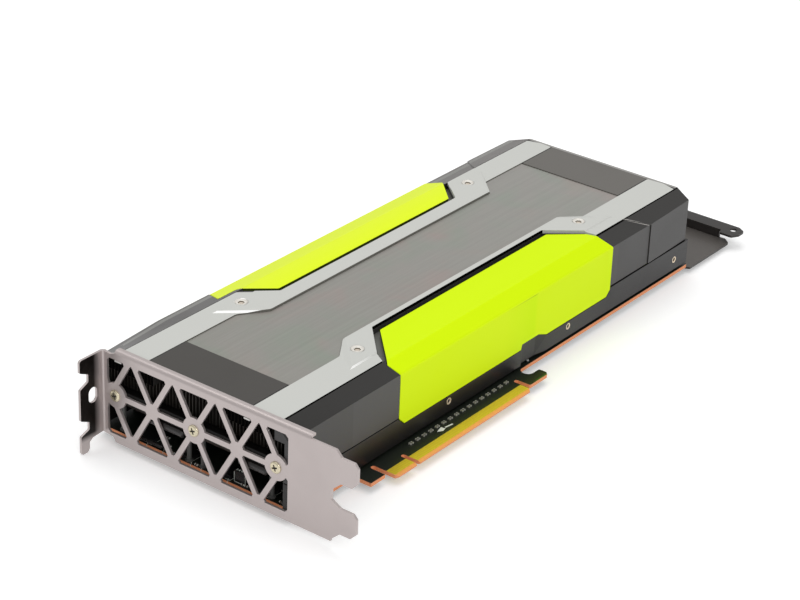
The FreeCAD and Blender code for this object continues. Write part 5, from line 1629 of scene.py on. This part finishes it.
@dataclass
class Fasteners(Assembly):
    """Screws and threaded inserts, with their recesses."""

    title: str = "fasteners"
    rail_x: Span = (61.7, 207.4)
    rail_y: Span = (31.6, 87.9)
    rail_top: float = 36.9
    bracket_y: Triple = (18.4, 56.8, 95.2)
    bracket_z: float = 19.5
    bracket_turn: float = 20.0
    insert_x: Triple = (94.9, 175.3, 255.7)
    insert_y: Span = (12.6, 107.2)
    insert_z: float = 7.5

    def build(self) -> None:
        """Build every fastener."""
        self.add_rail_screws()
        self.add_bracket_screws()
        self.add_inserts()
        steel = BareMetal("back_screw_steel", (176, 172, 166))
        self.put(("back_screws", "sink_screws"), steel, Soften.FINE)

    def add_set(
        self,
        name: str,
        places: list[Matrix],
        rings: list[Ring],
        finish: Finish,
        slot: str,
        *stands_for: str,
    ) -> None:
        """Add the same turned form at several places, as one piece.

        Args:
            name: The piece's name.
            places: Where each form stands.
            rings: Outline and height of its rings.
            finish: Its finish.
            slot: Name of a material slot, handed on to join.
            stands_for: Model nodes that the piece replaces.
        """
        mesh = bmesh.new()
        for place in places:
            add_turned(mesh, place, rings)
        self.join(name, mesh, finish, slot, *stands_for)

    def add_rail_screws(self) -> None:
        """Add the dished screws sunk into the rails."""
        rings = rounds(
            (1.2, -5.4), (1.2, -1.5), (2.55, -0.15), (2.5, -0.05), (2.05, -0.4), (1.6, -0.42)
        )
        rings += [(hexagon(1.4), -0.42), (hexagon(1.38), -1.3)]
        cup = [(hexagon(1.36), -1.28), (hexagon(1.36), -0.43)]
        cup += [(hexagon(1.26), -0.43), (hexagon(1.24), -0.82)]
        places = [
            Matrix.Translation(at(x, y, self.rail_top)) for x in self.rail_x for y in self.rail_y
        ]
        steel = BareMetal("rail_screw_steel", (232, 228, 220), 0.42, 0.2, dark_share=0.1)
        self.add_set("rail_screw_set", places, rings, steel, "screw_steel", "rail_screws")
        # The socket's cup carries painted shade on its wall and a painted lit floor.
        socket_shading = PaintedSocketShade("socket_painted_shade", (112, 102, 86))
        self.add_set("rail_screw_recess", places, cup, socket_shading, "screw_steel")

    def add_bracket_screws(self) -> None:
        """Add the pan-head screws with a cross recess, on the lattice's middle bar."""
        rings = rounds(
            (1.2, -4.1), (1.2, 0.0), (2.3, 0.0), (2.34, 0.3), (2.2, 0.55), (1.9, 0.72), (1.55, 0.78)
        )
        rings += [(cross(1.3, 0.34), 0.78), (cross(1.25, 0.3), 0.2)]
        floor = [(cross(1.2, 0.27), 0.22), (cross(1.2, 0.27), 0.42)]
        turn = Matrix.Rotation(math.radians(self.bracket_turn), 4, "Z")
        places = [aimed(at(0, y, self.bracket_z), (-1, 0, 0)) @ turn for y in self.bracket_y]
        steel = BareMetal("bracket_screw_steel", (222, 212, 184), 0.25, 0.8, dark_share=0.2)
        self.add_set("bracket_screw_set", places, rings, steel, "screw_steel", "bracket_screws")
        # The dark floor in each cross recess is painted shade.
        dark = Moulded("recess_painted_shade", (30, 24, 18))
        self.add_set("bracket_screw_recess", places, floor, dark, "screw_steel")

    def add_inserts(self) -> None:
        """Add the ringed inserts in the base plate's sides."""
        rings = rounds(
            (1.44, -2.6), (1.44, -0.1), (1.38, -0.02), (0.98, -0.02), (0.88, -0.14), (0.88, -2.2)
        )
        places = [
            aimed(at(x, y, self.insert_z), (0, way, 0))
            for x in self.insert_x
            for y, way in zip(self.insert_y, (-1, 1))
        ]
        brass = BareMetal("insert_brass", (246, 226, 198), 0.3, 0.5, dark_share=0.1)
        self.add_set("insert_ring_set", places, rings, brass, "insert_steel", "side_inserts")
        # The dark plug in each insert's bore is painted shade.
        bore, dark = rounds((0.87, -2.1), (0.87, -0.45)), Moulded("bore_painted_shade", (20, 17, 14))
        self.add_set("insert_bores", places, bore, dark, "insert_steel")


@dataclass
class Underside(Assembly):
    """Film, back plate and tail extender below the board."""

    title: str = "underside"
    black: Coat = Coat("back_black", (44, 43, 42), 0.44, 0.1, grain_depth=0.00001)
    tail: Coat = TailPaint("extender_black", (54, 51, 49), 0.36, 0.3)

    def build(self) -> None:
        """Dress the underside."""
        # Rounded edges of the back plate and the extender carry painted highlights.
        self.put(("back_plate",), self.black, Soften.SHEET, (84, 82, 79))
        self.put(("tail_extender",), self.tail, Soften.SHEET, (150, 140, 132))
        self.put(("insulating_film",), Moulded("film_black", (28, 28, 28), 0.4))


@dataclass
class Studio:
    """Floor, lamps, world and the photograph's view; its lengths are metres."""

    lens_mm: float = 109.91
    sensor_mm: float = 36.0
    eye: Triple = (-0.7110, -0.4939, 0.4680)
    azimuth: float = -53.49
    elevation: float = 27.34
    roll: float = 2.34
    world_light: float = 0.6
    floor_half: float = 6.0
    floor_grey: float = 0.86
    floor_rough: float = 0.9
    floor_glow: float = 0.30
    lamps: tuple[tuple[str, Triple, float, float], ...] = (
        ("top_softbox", (0.1, 0.25, 1.4), 1.4, 9.0),
        ("side_softbox", (-0.9, -1.1, 0.8), 0.8, 4.6),
    )

    def build(self) -> None:
        """Build the studio round the card."""
        self.build_world()
        self.build_floor()
        for name, place, size, power in self.lamps:
            self.add_lamp(name, Vector(place), size, power)
        self.build_camera()
        bpy.context.scene.view_settings.view_transform = "Standard"
        LOG.info("studio: ready")

    def seen_by(self, graph: Graph, *rays: str) -> Socket:
        """Mask of the kinds of rays that are to see plain white.

        Args:
            graph: The tree of the floor or the world.
            rays: Names of the rays.

        Returns:
            The mask.
        """
        path = graph.add("ShaderNodeLightPath").outputs
        seen = path[f"Is {rays[0]} Ray"]
        for ray in rays[1:]:
            seen = graph.maths("MAXIMUM", seen, path[f"Is {ray} Ray"])
        return seen

    def build_world(self) -> None:
        """Build even white surroundings that the camera sees as white."""
        world = bpy.data.worlds.new("soft_room")
        world.use_nodes = True
        bpy.context.scene.world = world
        graph = Graph(world.node_tree)
        seen = self.seen_by(graph, "Camera", "Transmission")
        strength = graph.spread(seen, 0.0, 1.0, self.world_light, 1.0)
        graph.feed(world.node_tree.nodes["Background"], Color=WHITE, Strength=strength)

    def build_floor(self) -> None:
        """Build a plain white table with a faint shadow."""
        mesh = bmesh.new()
        bmesh.ops.create_grid(mesh, x_segments=1, y_segments=1, size=self.floor_half)
        floor = place_mesh("floor", mesh)
        draft = Draft("floor_white")
        seen = self.seen_by(draft, "Camera", "Glossy", "Transmission")
        material = draft.finish(
            Base_Color=(self.floor_grey, self.floor_grey, self.floor_grey, 1.0),
            Roughness=self.floor_rough,
            Emission_Color=WHITE,
            Emission_Strength=draft.maths("MULTIPLY", seen, self.floor_glow),
        )
        floor.data.materials.append(material)

    def add_lamp(self, name: str, place: Vector, size: float, power: float) -> None:
        """Add a square softbox aimed at the card.

        Args:
            name: The lamp's name.
            place: Where it hangs.
            size: Length of its sides.
            power: Its power in watts.
        """
        light = bpy.data.lights.new(name, "AREA")
        light.size = size
        light.energy = power
        lamp = bpy.data.objects.new(name, light)
        lamp.location = place
        lamp.rotation_euler = (-place).to_track_quat("-Z", "Y").to_euler()
        bpy.context.scene.collection.objects.link(lamp)

    def build_camera(self) -> None:
        """Build the camera at the photograph's angle."""
        azimuth = math.radians(self.azimuth)
        elevation = math.radians(self.elevation)
        back = Vector((
            math.sin(azimuth) * math.cos(elevation),
            -math.cos(azimuth) * math.cos(elevation),
            math.sin(elevation),
        ))
        across = Vector((math.cos(azimuth), math.sin(azimuth), 0.0))
        tilt = math.radians(self.roll)
        right = across * math.cos(tilt) + back.cross(across) * math.sin(tilt)
        turn = Matrix((right, back.cross(right), back)).transposed().to_4x4()
        data = bpy.data.cameras.new("photo_view")
        data.lens = self.lens_mm
        data.sensor_width = self.sensor_mm
        camera = bpy.data.objects.new("photo_view", data)
        camera.matrix_world = Matrix.Translation(Vector(self.eye)) @ turn
        bpy.context.scene.collection.objects.link(camera)
        bpy.context.scene.camera = camera


def main() -> None:
    """Dress the card and set up its view."""
    logging.basicConfig(level=logging.INFO, format="%(message)s")
    for assembly in (Shell(), Bracket(), Cooler(), Circuit(), FrontRow(), Underside(), Fasteners()):
        assembly.build()
        LOG.info("%s: %d pieces", assembly.title, assembly.count)
    Studio().build()


if __name__ == "__main__":
    main()
